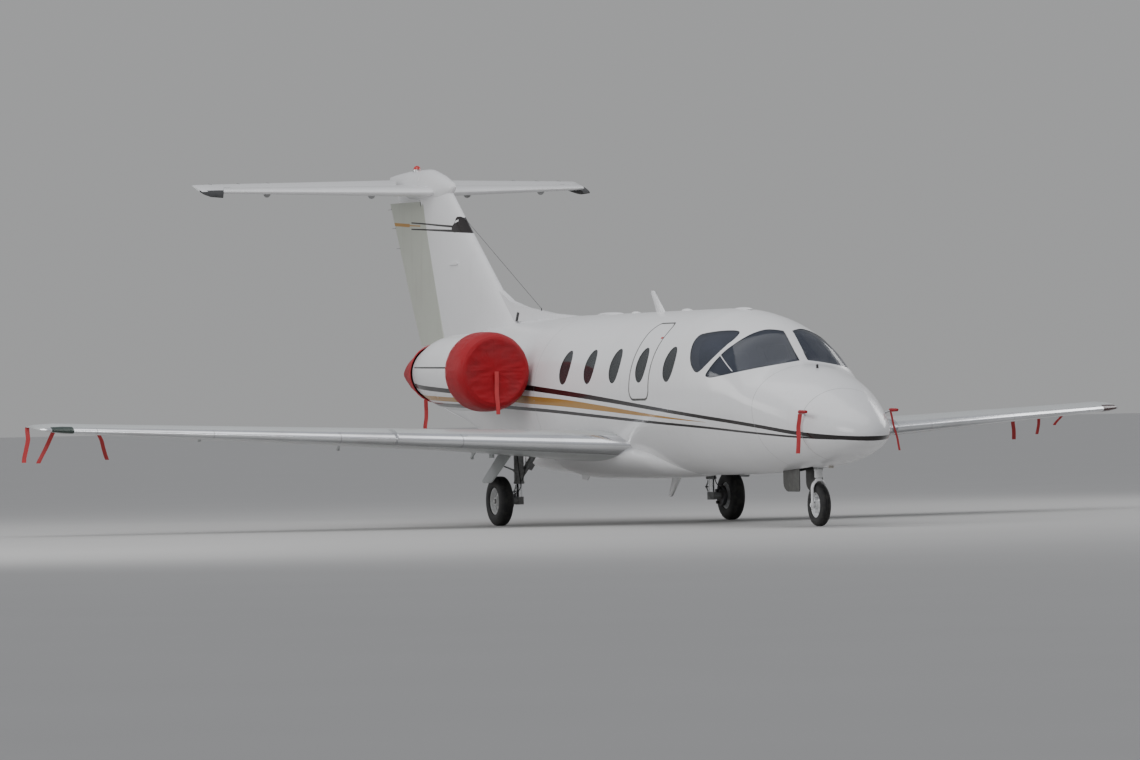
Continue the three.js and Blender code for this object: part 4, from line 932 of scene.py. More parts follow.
gap = f["seamGap"]
cabinMesh = carve(hull(f["aftBulkhead"], f["frontBulkhead"]), minus(hollow, bay, *openingCutters))
cabinMesh = carve(cabinMesh, plus(*(carve(lug, minus(hollow)) for lug in shellLugs)))
noseMesh = carve(hull(f["frontBulkhead"] + gap, f["noseConeEnd"]), minus(bay))
noseMesh = carve(noseMesh, plus(rod(*f["prong"])))
coneMesh = hull(f["noseConeEnd"] + gap, f["noseTip"])
wallMesh = bandBetween(f["aftBulkhead"], f["frontBulkhead"], 0, f["wall"])
doorMesh = carve(wallMesh, within(doorSector(0)) + minus(port(ovalOutline(openings["doorOval"])))
                 + plus(*(carve(lug, minus(hollow)) for lug in doorLugs)))
exitMesh = carve(wallMesh, within(starboard(frameOutline(openings["exit"])))
                 + minus(starboard(ovalOutline(openings["exitOval"]))))

paintAndLining = [fuselagePaint, "lining", "bay"]


def bayFaces(mesh):
    (x0, y0, z0), (x1, y1, z1) = f["bay"]
    for polygon in mesh.polygons:
        c = polygon.center
        if (x0 - 0.01 < c.x < x1 + 0.01 and abs(c.y) < y1 + 0.002 and c.z < z1 + 0.002
                and polygon.material_index):
            polygon.material_index = 2
    return mesh


for name, mesh, body in (("cabin_shell", cabinMesh, "airframe"), ("nose_section", noseMesh, "airframe"),
                         ("nose_cone", coneMesh, "airframe"), ("cabin_door", doorMesh, "cabin_door"),
                         ("emergency_exit", exitMesh, "airframe")):
    shade(bayFaces(lineInside(mesh)), (skinGuide, liningGuide))
    addPiece("skin_" + name, mesh, body, paintAndLining, name, "white_paint")

# Tail cone with its strake
tailMesh = carve(hull(f["tailEnd"], f["aftBulkhead"] - gap),
                 minus(hull(f["tailHollow"], f["aftBulkhead"] + 0.01, f["wall"])))
tailMesh = carve(tailMesh, plus(sidePlate(f["strake"], -0.018, 0.018)))
addPiece("skin_tail_cone", shade(tailMesh, (skinGuide,)), "airframe", fuselagePaint, "tail_cone",
         "white_paint")
print("fuselage made")


# Glazing

paneDepths = openings["recess"], openings["recess"] + openings["pane"]
paneLayer, windowLayer = (bandBetween(*span, *paneDepths) for span in ((3.9, 5.7), (0.3, 3.95)))
paneGuides = [hull(0.2, 5.8, depth, 0.04) for depth in paneDepths]
paneGap = openings["paneGap"]
windshieldPane = carve(paneLayer, within(windshieldCutter(-0.002)))
quarterPane = carve(paneLayer, within(starboard(growOutline(quarterLine, -paneGap))))
ovalPane = lambda cutter, x: carve(windowLayer, within(cutter(ovalOutline(x, -paneGap))))
panes = {
    "windshield_right": (windshieldPane, "airframe"),
    "windshield_left": (mirrored(windshieldPane), "airframe"),
    "quarter_window_right": (quarterPane, "airframe"),
    "quarter_window_left": (mirrored(quarterPane), "airframe"),
    "cabin_windows_right": (joined([ovalPane(starboard, x) for x in openings["stations"]]), "airframe"),
    "cabin_windows_left": (joined([ovalPane(port, x) for x in (*openings["stations"], openings["exitOval"])]),
                           "airframe"),
    "forward_window_right": (ovalPane(starboard, openings["forwardOval"]), "airframe"),
    "exit_window": (ovalPane(starboard, openings["exitOval"]), "airframe"),
    "door_window": (ovalPane(port, openings["doorOval"]), "cabin_door"),
}
for name, (mesh, body) in panes.items():
    glass = finishes["cockpitGlass" if "windshield" in name or "quarter" in name else "cabinGlass"]
    addPiece("pane_" + name, shade(mesh, paneGuides), body, glass, name, "cabin_glass")


def seatedLine(outline, side, lift, plane=None):
    # an outline laid on the skin, seen square on from the side or from the windshield's own heading
    points = []
    for u, z in densify(outline, 0.03):
        if plane is None:
            points.append(skinAt(u, z, side, lift)[0])
            continue
        outwardDirection = Vector((plane.y, -plane.x, 0))
        start = plane * u + zAxis * z + outwardDirection * 12
        place, normal, _, _ = skinTree.ray_cast(start, -outwardDirection)
        if place is not None:
            points.append(place + normal * lift)
    return points


sealSunk = openings["sealSunk"]
sealAlong = lambda line: bead(line, *openings["seal"], "rubber", True)
sealSpots = [(ovalOutline(x), side) for x in (*openings["stations"], openings["exitOval"])
             for side in (-1, 1)]
sealSpots += [(ovalOutline(openings["forwardOval"]), -1), (quarterLine, -1), (quarterLine, 1)]
sealMeshes = [sealAlong(seatedLine(growOutline(line, -0.001), side, sealSunk)) for line, side in sealSpots]
post = openings["centrePost"] / 2
windshieldSeal = seatedLine(windshieldLine, -1, sealSunk, windshieldAcross)
windshieldSeal = sealAlong([p for p in windshieldSeal if p.y < -post + 0.004])
sealMeshes += [windshieldSeal, mirrored(windshieldSeal)]
addPiece("window_seals", joined(sealMeshes), "airframe", "rubber")
doorSeal = sealAlong(seatedLine(ovalOutline(openings["doorOval"], -0.001), 1, sealSunk))
addPiece("door_window_seal", doorSeal, "cabin_door", "rubber")
exitSeal = seatedLine(frameOutline(openings["exit"], 0.003), -1, sealSunk)
exitSeal = bead(exitSeal, *openings["exitLine"], "doorGrey", True)
addPiece("exit_seal", exitSeal, "airframe", "doorGrey")
print("glazing made")


# Lifting surfaces: sections from tables of rows, straight along the span between rows

surfaceGap, pinDepth = 0.007, 0.06


def foilHalf(s):
    return 5 * (0.2969 * math.sqrt(s) - 0.126 * s - 0.3516 * s ** 2 + 0.2843 * s ** 3 - 0.1036 * s ** 4)


def foilRing(row, start, end, camber, grow, count=22):
    chord = row["lead"] - row["trail"]
    tilt = math.radians(row["incidence"])

    def point(share, side):
        half = foilHalf(share) * row["thickness"] * chord + 0.002 * share + grow
        lift = camber * 4 * share * (1 - share) * chord + side * half
        back = share * chord
        return Vector((row["lead"] - back * math.cos(tilt) - lift * math.sin(tilt), row["y"],
                       row["height"] - back * math.sin(tilt) + lift * math.cos(tilt)))
    shares = [start + (end - start) * (1 - math.cos(math.pi / 2 * i / count)) for i in range(count + 1)]
    upper = [point(s, 1) for s in shares][::-1]
    lower = [point(s, -1) for s in shares]
    return upper + (lower[1:] if start == 0 and grow == 0 else lower)


def rowsOf(columns, rows):
    return [dict(zip(columns, row)) for row in rows]


def rowsAround(rows, y):
    i = max(min(sum(row["y"] < y for row in rows), len(rows) - 1), 1)
    low, high = rows[i - 1], rows[i]
    return low, high, (y - low["y"]) / (high["y"] - low["y"])


def surface(rows, start=0.0, end=1.0, camber=0.018, grow=0.0, step=0.14):
    spots = [rows[0]["y"]]
    for a, b in zip(rows, rows[1:]):
        count = max(round((b["y"] - a["y"]) / step), 1)
        spots += [a["y"] + (b["y"] - a["y"]) * (k + 1) / count for k in range(count)]
    rings = []
    for y in spots:
        *pair, share = rowsAround(rows, y)
        inner, outer = (foilRing(row, start, end, camber, grow) for row in pair)
        rings.append([p.lerp(q, share) for p, q in zip(inner, outer)])
    return loft(rings)


def skinPoints(rows, y, share, camber=0.018):
    # upper and lower skin points at a chord share, and their middle
    *pair, part = rowsAround(rows, y)
    inner, outer = (foilRing(row, share, 1, camber, 0, 2) for row in pair)
    middle = len(inner) // 2
    upper, lower = (inner[i].lerp(outer[i], part) for i in (middle - 1, middle))
    return upper, lower, upper.lerp(lower, 0.5)


def hingeFrame(start, end):
    start, end = Vector(start), Vector(end)
    along = (end - start).normalized()
    above = (zAxis - along * along.z).normalized() if abs(along.z) <= 0.8 else yAxis.copy()
    aft = above.cross(along).normalized()
    if aft.x > 0:
        aft.negate()
    return {"start": start, "end": end, "along": along, "aft": aft, "above": above,
            "length": (end - start).length}


def hingeBlock(hinge, ahead, behind=2.5, reach=1.5, low=0.0, high=None):
    # a block in a hinge frame, between two distances along the hinge
    high = hinge["length"] if high is None else high
    outline = [(-ahead, -reach), (behind, -reach), (behind, reach), (-ahead, reach)]
    aft, above = hinge["aft"], hinge["above"]
    forwards = aft.cross(above).dot(hinge["along"]) > 0
    return prism(outline, aft, above, hinge["start"], *((low, high) if forwards else (-high, -low)))


def splitSurface(parent, hinge, radii, region=None, bossDepth=0.0):
    # a moving surface with a round nose, and the parent with a pin at each end of the hinge line
    place = lambda distance: hinge["start"] + hinge["along"] * distance
    length = hinge["length"]
    aftPart = region or (lambda grow: hingeBlock(hinge, 0, low=surfaceGap - grow,
                                                 high=length - surfaceGap + grow))
    nose = rod(place(surfaceGap), place(length - surfaceGap), radii[0], radii[1], 40)
    hollowRod = rod(hinge["start"], hinge["end"], radii[0] + surfaceGap, radii[1] + surfaceGap, 40)
    boss = lambda grow: [rod(place(-bossDepth - grow), place(grow), radii[0] + grow, sides=40),
                         rod(place(length - grow), place(length + bossDepth + grow), radii[1] + grow,
                             sides=40)]
    moving = carve(parent, within(aftPart(0)))
    cleared = aftPart(surfaceGap)
    if bossDepth:
        moving = carve(moving, minus(*boss(surfaceGap)))
        cleared = carve(cleared, minus(*boss(0)))
    moving = carve(moving, plus(nose))
    reach = surfaceGap - touchGap
    pins = [rod(place(a), place(b), min(radii) * 0.45, sides=16)
            for a, b in ((-pinDepth, reach), (length + pinDepth, length - reach))]
    return moving, carve(parent, minus(cleared, hollowRod) + plus(*pins))


# Belly fairing

fairingAt = sampler(("x", "crown", "keel", "halfWidth", "widest"), [
    (2.95, 0.7, 0.552, 0.3, 0.64), (2.45, 0.9, 0.52, 0.64, 0.76), (1.5, 1.0, 0.508, 0.745, 0.8),
    (0.06, 1.0, 0.508, 0.75, 0.8), (0.03, 1.0, 0.552, 0.742, 0.8), (-0.9, 1.0, 0.572, 0.7, 0.815),
    (-1.7, 0.98, 0.64, 0.59, 0.85), (-2.25, 0.96, 0.76, 0.4, 0.88)])


def fairingBody(inset=0.0):
    stations = stationsBetween(0.06, 2.95, 0.08) + stationsBetween(-2.25, 0.03, 0.08)
    return loft([hoop(fairingAt(x), x, inset, 72) for x in stations])


wholeHull = hull(f["tailEnd"], f["noseTip"], -touchGap)
fairingGuide = fairingBody()
fairingMesh = carve(fairingGuide, minus(wholeHull))
addPiece("belly_fairing_skin", shade(fairingMesh, (fairingGuide,)), "airframe", plainPaint, "belly_fairing",
         "white_paint")

# Wing: one row per station from the root to the tip

wing = {
    "rows": rowsOf(("y", "lead", "trail", "height", "incidence", "thickness"), [
        (0.45, 2.234, -0.552, 0.877, 3.0, 0.13), (2.35, 1.416, -0.527, 0.973, 1.0, 0.125),
        (6.44, -0.346, -1.24, 1.178, -3.4, 0.11), (6.58, -0.44, -1.244, 1.188, -3.5, 0.08),
        (6.625, -0.64, -1.228, 1.194, -3.5, 0.035)]),
    "edge": 0.06, "flap": ((-0.075, 0.905, 0.715), (-0.712, 5.04, 1.068)), "flapNose": 0.058,
    "bracket": [(-.07, .04), (-.07, .11), (-.23, .11), (-.21, .06)], "lug": [(.11, .1), (.02, .11)],
    "fenceLine": [(.07, -.008), (.056, .062), (-.09, .114), (-.62, .112), (-.62, .04), (-.06, 0),
                  (-.03, -.068), (.04, -.04)], "fenceCorners": [.03, .04, .1, .02, .02, .01, .01, .02],
    "trimSpan": (5.1, 5.98), "trimRadii": (0.038, 0.033), "brackets": (0.18, 0.55, 0.93),
    "bracketThick": 0.016, "lugRadius": 0.02, "padRadius": 0.03, "fenceHalf": 0.004,
    "spoilerTop": 0.06, "spoilerDepth": 0.016, "spoilerWell": 0.028, "spoilerPin": (0.007, 0.008, 0.004),
    "spoilerSpan": (2.48, 4.56), "spoilerShares": (0.62, 0.72), "fence": 3.04, "jackPad": (0.7, 1.75, 0.775),
}
wingGuide = surface(wing["rows"])
bodyCutters = (wholeHull, fairingBody(-touchGap))
wingMesh = carve(surface(wing["rows"], wing["edge"] + touchGap), minus(*bodyCutters))
flapHinge = hingeFrame(*wing["flap"])
nose = wing["flapNose"]
flapBlock = lambda grow: hingeBlock(flapHinge, nose + grow, low=-grow, high=flapHinge["length"] + grow)
flapMesh = carve(wingMesh, within(flapBlock(0)))
wingMesh = carve(wingMesh, minus(flapBlock(surfaceGap)))

# Flap brackets stand beside lugs of the flap
lugRound = [(wing["lugRadius"] * math.cos(a), wing["lugRadius"] * math.sin(a))
            for a in map(math.radians, range(-150, 11, 20))]
brackets, lugs = [], []
for share in wing["brackets"]:
    base = flapHinge["start"] + flapHinge["along"] * share * flapHinge["length"]
    across, lift, thick = flapHinge["aft"], flapHinge["above"], wing["bracketThick"]
    brackets.append(prism(lugRound + wing["bracket"], across, lift, base, 0, thick))
    lugs.append(prism(lugRound + wing["lug"], across, lift, base, -thick - touchGap, -touchGap))
wingMesh, flapMesh = carve(wingMesh, plus(*brackets)), carve(flapMesh, plus(*lugs))

trimHinge = hingeFrame(*(skinPoints(wing["rows"], y, 0.8)[2] for y in wing["trimSpan"]))
trimMesh, wingMesh = splitSurface(wingMesh, trimHinge, wing["trimRadii"])

# Spoiler: a flat panel let into the upper skin
spoilerFront = [skinPoints(wing["rows"], y, wing["spoilerShares"][0])[0] for y in wing["spoilerSpan"]]
spoilerBack = skinPoints(wing["rows"], wing["spoilerSpan"][0], wing["spoilerShares"][1])[0]
along = (spoilerFront[1] - spoilerFront[0]).normalized()
lift = (spoilerBack - spoilerFront[0]).cross(along).normalized()
across = lift.cross(along).normalized()
if lift.z < 0:
    lift.negate()
if across.x > 0:
    across.negate()
spoilerHinge = {"start": spoilerFront[0], "end": spoilerFront[1], "along": along, "aft": across,
                "above": lift, "length": (spoilerFront[1] - spoilerFront[0]).length}
spoilerChord = (spoilerBack - spoilerFront[0]).dot(across)


def spoilerBlock(grow, depth):
    top = wing["spoilerTop"]
    whole = hingeBlock(spoilerHinge, grow, spoilerChord + grow, top, -grow, spoilerHinge["length"] + grow)
    return reshape(whole, lambda p: p + lift * (top - depth))


spoilerMesh = carve(surface(wing["rows"]), within(spoilerBlock(0, wing["spoilerDepth"])))
wingMesh = carve(wingMesh, minus(spoilerBlock(surfaceGap - 0.001, wing["spoilerWell"])))
spoilerPins, (back, down, pinRadius) = [], wing["spoilerPin"]
for end, sign in zip(spoilerFront, (-1, 1)):
    spot = end + across * back - lift * down
    inner, outer = (spot + along * sign * distance for distance in (pinDepth, touchGap))
    spoilerPins.append(rod(inner, outer, pinRadius, sides=16))
padX, padY, padLow = wing["jackPad"]
padTop = skinPoints(wing["rows"], padY, 0.4)[2].z
jackPad = rod((padX, padY, padTop), (padX, padY, padLow), wing["padRadius"])
wingMesh = carve(wingMesh, plus(*spoilerPins, jackPad))

# Polished leading edge with the stall fence
low, high, share = rowsAround(wing["rows"], wing["fence"])
leadX, leadZ = (low[k] + (high[k] - low[k]) * share for k in ("lead", "height"))
fenceLine = roundCorners([(leadX + a, leadZ + b) for a, b in wing["fenceLine"]], wing["fenceCorners"])
fencePlate = carve(sidePlate(fenceLine, wing["fence"] - wing["fenceHalf"], wing["fence"] + wing["fenceHalf"]),
                   minus(surface(wing["rows"], wing["edge"], 1, grow=touchGap)))
edgeMesh = carve(surface(wing["rows"], 0, wing["edge"]), minus(*bodyCutters))
edgeMesh = carve(edgeMesh, plus(fencePlate))

for name, mesh, body, finish, slot in (
        ("wing", wingMesh, "airframe", wingPaint, "grey_paint"),
        ("leading_edge", edgeMesh, "airframe", "polished", "polished_metal"),
        ("flap", flapMesh, "flap_", wingPaint, "white_paint"),
        ("roll_trim", trimMesh, "roll_trim_", wingPaint, "white_paint"),
        ("spoiler", spoilerMesh, "spoiler_", wingPaint, "white_paint")):
    addPair(name + "_skin", mesh, body, finish, name + "_", slot, (wingGuide,))
print("wing made")


# Tail

tail = {
    "fin": [(1.9, -2.35, -5.846, 0.25), (2.7, -3.395, -6.275, 0.235), (3.45, -4.41, -6.655, 0.19),
            (4.13, -5.3, -7.01, 0.135)],
    "dorsal": [(-0.8, 2.25), (-0.88, 2.372), (-1.73, 2.418), (-2.59, 2.502), (-3.1, 2.592), (-3.44, 2.72),
               (-3.9, 2.4)],
    "rudderHinge": ((-5.268, 0, 2.15), (-5.892, 0, 3.81)), "rudderEnds": (2.105, 3.85), "rudderRest": 8,
    "rudderRadii": (0.068, 0.079), "rudderBoss": 0.3, "rudderRise": 2.6,
    "rows": rowsOf(("y", "lead", "trail", "height", "incidence", "thickness"), [
        (0, -5.34, -6.69, 3.945, -4.2, 0.1), (2.33, -6.645, -7.328, 4.02, -4.2, 0.095),
        (2.46, -6.735, -7.36, 4.024, -4.2, 0.08), (2.5, -6.86, -7.383, 4.026, -4.2, 0.04)]),
    "elevatorSpan": (0.262, 2.16), "elevatorShares": (0.61, 0.57), "elevatorRadii": (0.053, 0.032),
    "elevatorRest": 11, "hornRib": 0.062, "dorsalHalf": 0.035, "hornShade": -0.13,
    "bullet": [(-4.96, 4.004, 3.996, 0.0005, 4.0), (-4.99, 4.045, 3.958, 0.036, 3.998),
               (-5.08, 4.075, 3.915, 0.062, 3.995), (-5.35, 4.16, 3.85, 0.105, 4.0),
               (-5.8, 4.238, 3.85, 0.122, 4.02), (-6.3, 4.236, 3.88, 0.112, 4.04),
               (-6.8, 4.215, 3.99, 0.07, 4.095), (-7.13, 4.19, 4.1, 0.024, 4.145)],
}


def finSections(grow=0.0):
    rings = []
    rows = tail["fin"]
    for (z0, *low), (z1, *high) in zip(rows, rows[1:]):
        for k in range(8 if z1 < 4.1 else 9):
            t = k / 8
            lead, trail, thickness = (a + (b - a) * t for a, b in zip(low, high))
            z = z0 + (z1 - z0) * t
            row = {"lead": lead, "trail": trail, "y": 0, "height": 0, "incidence": 0,
                   "thickness": thickness / (lead - trail)}
            rings.append([Vector((p.x, p.z, z)) for p in foilRing(row, 0, 1, 0, grow)])
    return loft(rings)


finGuide = finSections()
dorsalPlate = sidePlate(tail["dorsal"], -tail["dorsalHalf"], tail["dorsalHalf"])
rudderHinge = hingeFrame(*tail["rudderHinge"])
hingeLength = rudderHinge["length"]


def rudderRegion(grow):
    low, high = tail["rudderEnds"]
    whole = hingeBlock(rudderHinge, 0, low=-0.5, high=hingeLength + 0.5)
    slab = block((-9, -0.5, low - grow), (9, 0.5, high + grow * tail["rudderRise"]))
    return carve(whole, within(slab))


wholeFin = carve(finGuide, plus(dorsalPlate))
rudderMesh, finMesh = splitSurface(wholeFin, rudderHinge, tail["rudderRadii"], rudderRegion,
                                   tail["rudderBoss"])
halfTail = surface(tail["rows"], camber=0)
elevatorHinge = hingeFrame(*(skinPoints(tail["rows"], y, s, 0)[2]
                             for y, s in zip(tail["elevatorSpan"], tail["elevatorShares"])))
elevatorLength, rib = elevatorHinge["length"], tail["hornRib"]
tailReach = elevatorLength + 0.7
elevatorRegion = lambda grow: hingeBlock(elevatorHinge, 0, low=surfaceGap - grow, high=tailReach)
hornBlock = lambda low: hingeBlock(elevatorHinge, 0.9, 0.0005, low=low, high=tailReach)
elevatorMesh, tailHalf = splitSurface(halfTail, elevatorHinge, tail["elevatorRadii"], elevatorRegion, rib)
hornMesh = carve(halfTail, within(hornBlock(elevatorLength + rib + surfaceGap)))
tailHalf = carve(tailHalf, minus(hornBlock(elevatorLength + rib)))
rest = lambda mesh: turned(mesh, elevatorHinge["start"], elevatorHinge["along"], tail["elevatorRest"])
elevatorMesh = carve(elevatorMesh, plus(hornMesh))


def darkNose(mesh):
    # the horn's leading edge is dull black
    for polygon in mesh.polygons:
        away = polygon.center - elevatorHinge["start"]
        out, back = (away.dot(elevatorHinge[k]) for k in ("along", "aft"))
        if out > elevatorLength + rib and back < tail["hornShade"]:
            polygon.material_index = 1
    return mesh


bulletAt = sampler(("x", "crown", "keel", "halfWidth", "widest"), tail["bullet"])


def bulletShape(inset=0.0):
    stations = [-4.96, -4.965, -4.975] + stationsBetween(-7.13, -4.99, 0.06)
    return loft([hoop(bulletAt(x), x, inset, 48) for x in stations])


bulletGuide = bulletShape()
stabilizerMesh = carve(tailHalf, plus(mirrored(tailHalf), bulletGuide))
tailGuide, grownTail = (surface(tail["rows"], camber=0, grow=grow) for grow in (0, touchGap))
finMesh = carve(finMesh, minus(wholeHull, bulletShape(-touchGap), grownTail, mirrored(grownTail)))
guides = (tailGuide, mirrored(tailGuide), bulletGuide)
addPiece("fin_skin", shade(finMesh, (finGuide,)), "airframe", finPaint, "fin", "white_paint")
spin = lambda mesh: turned(mesh, rudderHinge["start"], rudderHinge["along"], tail["rudderRest"])
addPiece("rudder_skin", shade(spin(rudderMesh), (spin(finGuide),)), "rudder", rudderPaint, "rudder",
         "grey_paint")
addPiece("stabilizer_skin", shade(stabilizerMesh, guides), "airframe", plainPaint, "stabilizer",
         "white_paint")
addPair("elevator_skin", rest(darkNose(elevatorMesh)), "elevator_", [plainPaint, "boot"], "elevator_",
        "white_paint", (rest(tailGuide),))
print("tail made")


# Engines

engine = {
    "axis": (0, 1.285, 1.752),
    "outside": [(-.43, .33), (-.434, .343), (-.446, .354), (-.49, .376), (-.56, .402), (-.8, .436),
                (-1.2, .442), (-1.7, .42), (-2.15, .33), (-2.42, .262), (-2.7, .205)],
    "inside": [(-2.7, .188), (-2.3, .215), (-1.8, .3003), (-.93, .3003), (-.86, .282), (-.48, .298),
               (-.44, .315)],
    "block": [(-.95, 0), (-.95, .3), (-1.78, .3), (-1.78, 0)],
    "intake": [(-.362, 0), (-.36, .1), (-.352, .2), (-.34, .3), (-.329, .345), (-.326, .368), (-.334, .388),
               (-.352, .408), (-.385, .427), (-.43, .442), (-.49, .449), (-.56, .454), (-.65, .455),
               (-.74, .4545), (-.765, .449), (-.772, .447)],
    "exhaust": [(-3.112, 0), (-3.106, .05), (-3.09, .092), (-3.05, .112), (-3.01, .128), (-2.9, .162),
                (-2.76, .205), (-2.62, .243), (-2.48, .28), (-2.36, .31), (-2.26, .334), (-2.238, .333),
                (-2.235, .328)],
    "pylon": [(-.785, 1.752), (-.9, 1.806), (-1.3, 1.826), (-1.9, 1.806), (-2.222, 1.752), (-1.9, 1.698),
              (-1.3, 1.678), (-.9, 1.698)],
    "pylonCorners": [.04, .1, .2, .2, .03, .2, .2, .1], "cloth": 0.002,
    "hems": ((-.768, .4525), (-2.244, .3385)), "hemBead": .007,
}


def fours(points):
    # each stretch of a path with the points before and after it
    last = len(points) - 1
    return [[points[min(max(i + k, 0), last)] for k in (-1, 0, 1, 2)] for i in range(last)]


def curveThrough(points, steps=6):
    # a smooth curve through points of two values
    found = []
    for a, b, c, d in fours([Vector((*p, 0)) for p in points]):
        reach = (c - b).length
        m = (c - a) / max((c - b).length + (b - a).length, 1e-6) * reach
        n = (d - b) / max((d - c).length + (c - b).length, 1e-6) * reach
        for k in range(steps):
            t = k / steps
            p = (b * (2 * t ** 3 - 3 * t * t + 1) + m * (t ** 3 - 2 * t * t + t)
                 + c * (3 * t * t - 2 * t ** 3) + n * (t ** 3 - t * t))
            found.append((p.x, max(p.y, 0)))
    return found + [tuple(points[-1])]


def aboutEngine(profile, grow=0.0, sides=96):
    return lathe([(x, r + (grow if r > 0 else 0)) for x, r in profile], engine["axis"], xAxis, sides)


def clothShell(profile, move, thick, sides=192):
    # a turned sheet of cloth with thickness; the profile runs from the middle of its face to its hem,
    # and move gives the outward shift for a distance along the profile and an angle
    points = curveThrough(profile, 5)
    distances = [0]
    for a, b in zip(points, points[1:]):
        distances.append(distances[-1] + math.hypot(b[0] - a[0], b[1] - a[1]))
    axis = Vector(engine["axis"])
    grids = []
    for inward in (0, thick):
        rings = []
        for i, (x, r) in enumerate(points):
            (x0, r0), (x1, r1) = points[max(i - 1, 0)], points[min(i + 1, len(points) - 1)]
            slope = Vector((x1 - x0, r1 - r0, 0)).normalized()
            normal = Vector((slope.y, -slope.x, 0))
            if normal.y < 0 or (abs(normal.y) < 0.05 and (profile[0][0] > profile[-1][0]) != (normal.x > 0)):
                normal.negate()
            if i == 0:
                rings.append([axis + Vector((x + normal.x * (move(0, 0) - inward), 0, 0))])
                continue
            ring = []
            for a in anglesAround(sides):
                lift = move(distances[i], a) - inward
                u, v = x + normal.x * lift, r + normal.y * lift
                ring.append(axis + Vector((u, v * math.sin(a), v * math.cos(a))))
            rings.append(ring)
        grids.append(rings)
    return loft(grids[0] + grids[1][::-1]), distances[-1]


def rippleAt(size, angle, depth):
    return noise.noise(Vector((size * math.cos(angle), size * math.sin(angle), depth)))


def intakeFolds(distance, angle):
    # radial creases on the face, gathers along the skirt, a raised seam round the rim
    wander = rippleAt(3, angle, distance * 5)
    fine = rippleAt(9, angle + wander * 0.5, distance * 3 + 7)
    face = min(distance / 0.34, 1) * (0.0045 * fine + 0.006 * wander)
    skirt = max((distance - 0.5) / 0.3, 0)
    gather = 0.0028 * skirt * math.sin(34 * angle + 2.2 * wander) * min(1, 6 * max(0.83 - distance, 0))
    seam = 0.004 * math.exp(-((distance - 0.405) / 0.006) ** 2)
    sag = -0.012 * math.exp(-(distance / 0.2) ** 2)
    # pleats pulled across the face, flat again over the intake lip
    across, up = distance * math.sin(angle), distance * math.cos(angle)
    pull = noise.noise(Vector((15 * up + 4 * across, 2.4 * across, 3)))
    pull += 0.5 * noise.noise(Vector((34 * up, 3 * across, 8)))
    pleats = 0.011 * pull * max(0, min(1, (0.37 - distance) / 0.06))
    return face * (1 if distance < 0.4 else 0.5) + gather + seam + sag + pleats


def exhaustFolds(distance, angle):
    # long folds that draw in at the hem and twist towards the tip
    twist = angle + distance * 1.2
    wander, fine = rippleAt(2.4, twist, distance * 4 + 20), rippleAt(8, twist, distance * 6 + 40)
    seam = 0.004 * math.exp(-((distance - 0.72) / 0.006) ** 2)
    return min(distance / 0.15, 1) * (0.006 * wander + 0.004 * fine) - 0.003 + seam


nacelleLines = [("black", between([(-2.1, 1.823), (-0.6, 1.804)], half=0.009)),
                ("black", between([(-2.2, 1.615), (-0.5, 1.523)], half=0.027)),
                ("gold", between([(-2.2, 1.487), (-0.5, 1.426)], half=0.028)),
                ("black", between([(-2.0, 1.403), (-0.5, 1.352)], half=0.024))]
nacellePaint = paintMaterial("white gloss paint with engine lines", "white", nacelleLines, 0.2)
closed = curveThrough(engine["outside"]) + curveThrough(engine["inside"])[1:]
nacelleMesh = aboutEngine(closed + [closed[0]])
for polygon in nacelleMesh.polygons:
    c = polygon.center
    radial = math.hypot(c.y - engine["axis"][1], c.z - engine["axis"][2])
    # the lip, the duct inside, which takes the shadowed bay colour as painted shade, and the nozzle
    if c.x > -0.5 and radial > 0.3:
        polygon.material_index = 1
    elif radial < 0.31 and c.x > -2.4:
        polygon.material_index = 2
    elif c.x < -2.5:
        polygon.material_index = 3
addPair("nacelle_skin", nacelleMesh, "airframe", [nacellePaint, "polished", "bay", "darkMetal"], "nacelle_",
        "white_paint", angle=40)
addPair("engine_core", aboutEngine(engine["block"]), "airframe", "darkMetal", "engine_", "gear_steel")
coverSeat = curveThrough(engine["outside"])
coverSeat = aboutEngine([(coverSeat[0][0] + touchGap, 0)] + coverSeat + [(coverSeat[-1][0] - touchGap, 0)],
                        touchGap)
pylonLine = roundCorners(engine["pylon"], engine["pylonCorners"])
pylonMesh = carve(sidePlate(pylonLine, 0.42, 1.18), minus(wholeHull, coverSeat))
# the pylons are dull black as painted shade between the nacelles and the fuselage
addPair("pylon_skin", pylonMesh, "airframe", "boot", "pylon_", "grey_paint")

covers = {"intake": (intakeFolds, "intake_cover_"), "exhaust": (exhaustFolds, "exhaust_cover_")}
for key, (folds, node) in covers.items():
    mesh, reach = clothShell(engine[key], folds, engine["cloth"])
    for piece in addPair(key + "_cover_cloth", mesh, "airframe", "redVinyl", node, "red_vinyl", angle=60):
        side = piece.name.rsplit("_", 1)[1]

# Draw cords in the hems of the covers
hemRings = []
for x, r in engine["hems"]:
    ring = [Vector(engine["axis"]) + Vector((x, r * math.sin(a), r * math.cos(a))) for a in anglesAround(120)]
    hemRings.append(bead(ring, engine["hemBead"], engine["hemBead"], "ribbonRed", True))
addPair("cover_hems", joined(hemRings), "airframe", "ribbonRed", angle=80)
print("engines made")


# Warning ribbons: webbing that hangs, with a slow twist

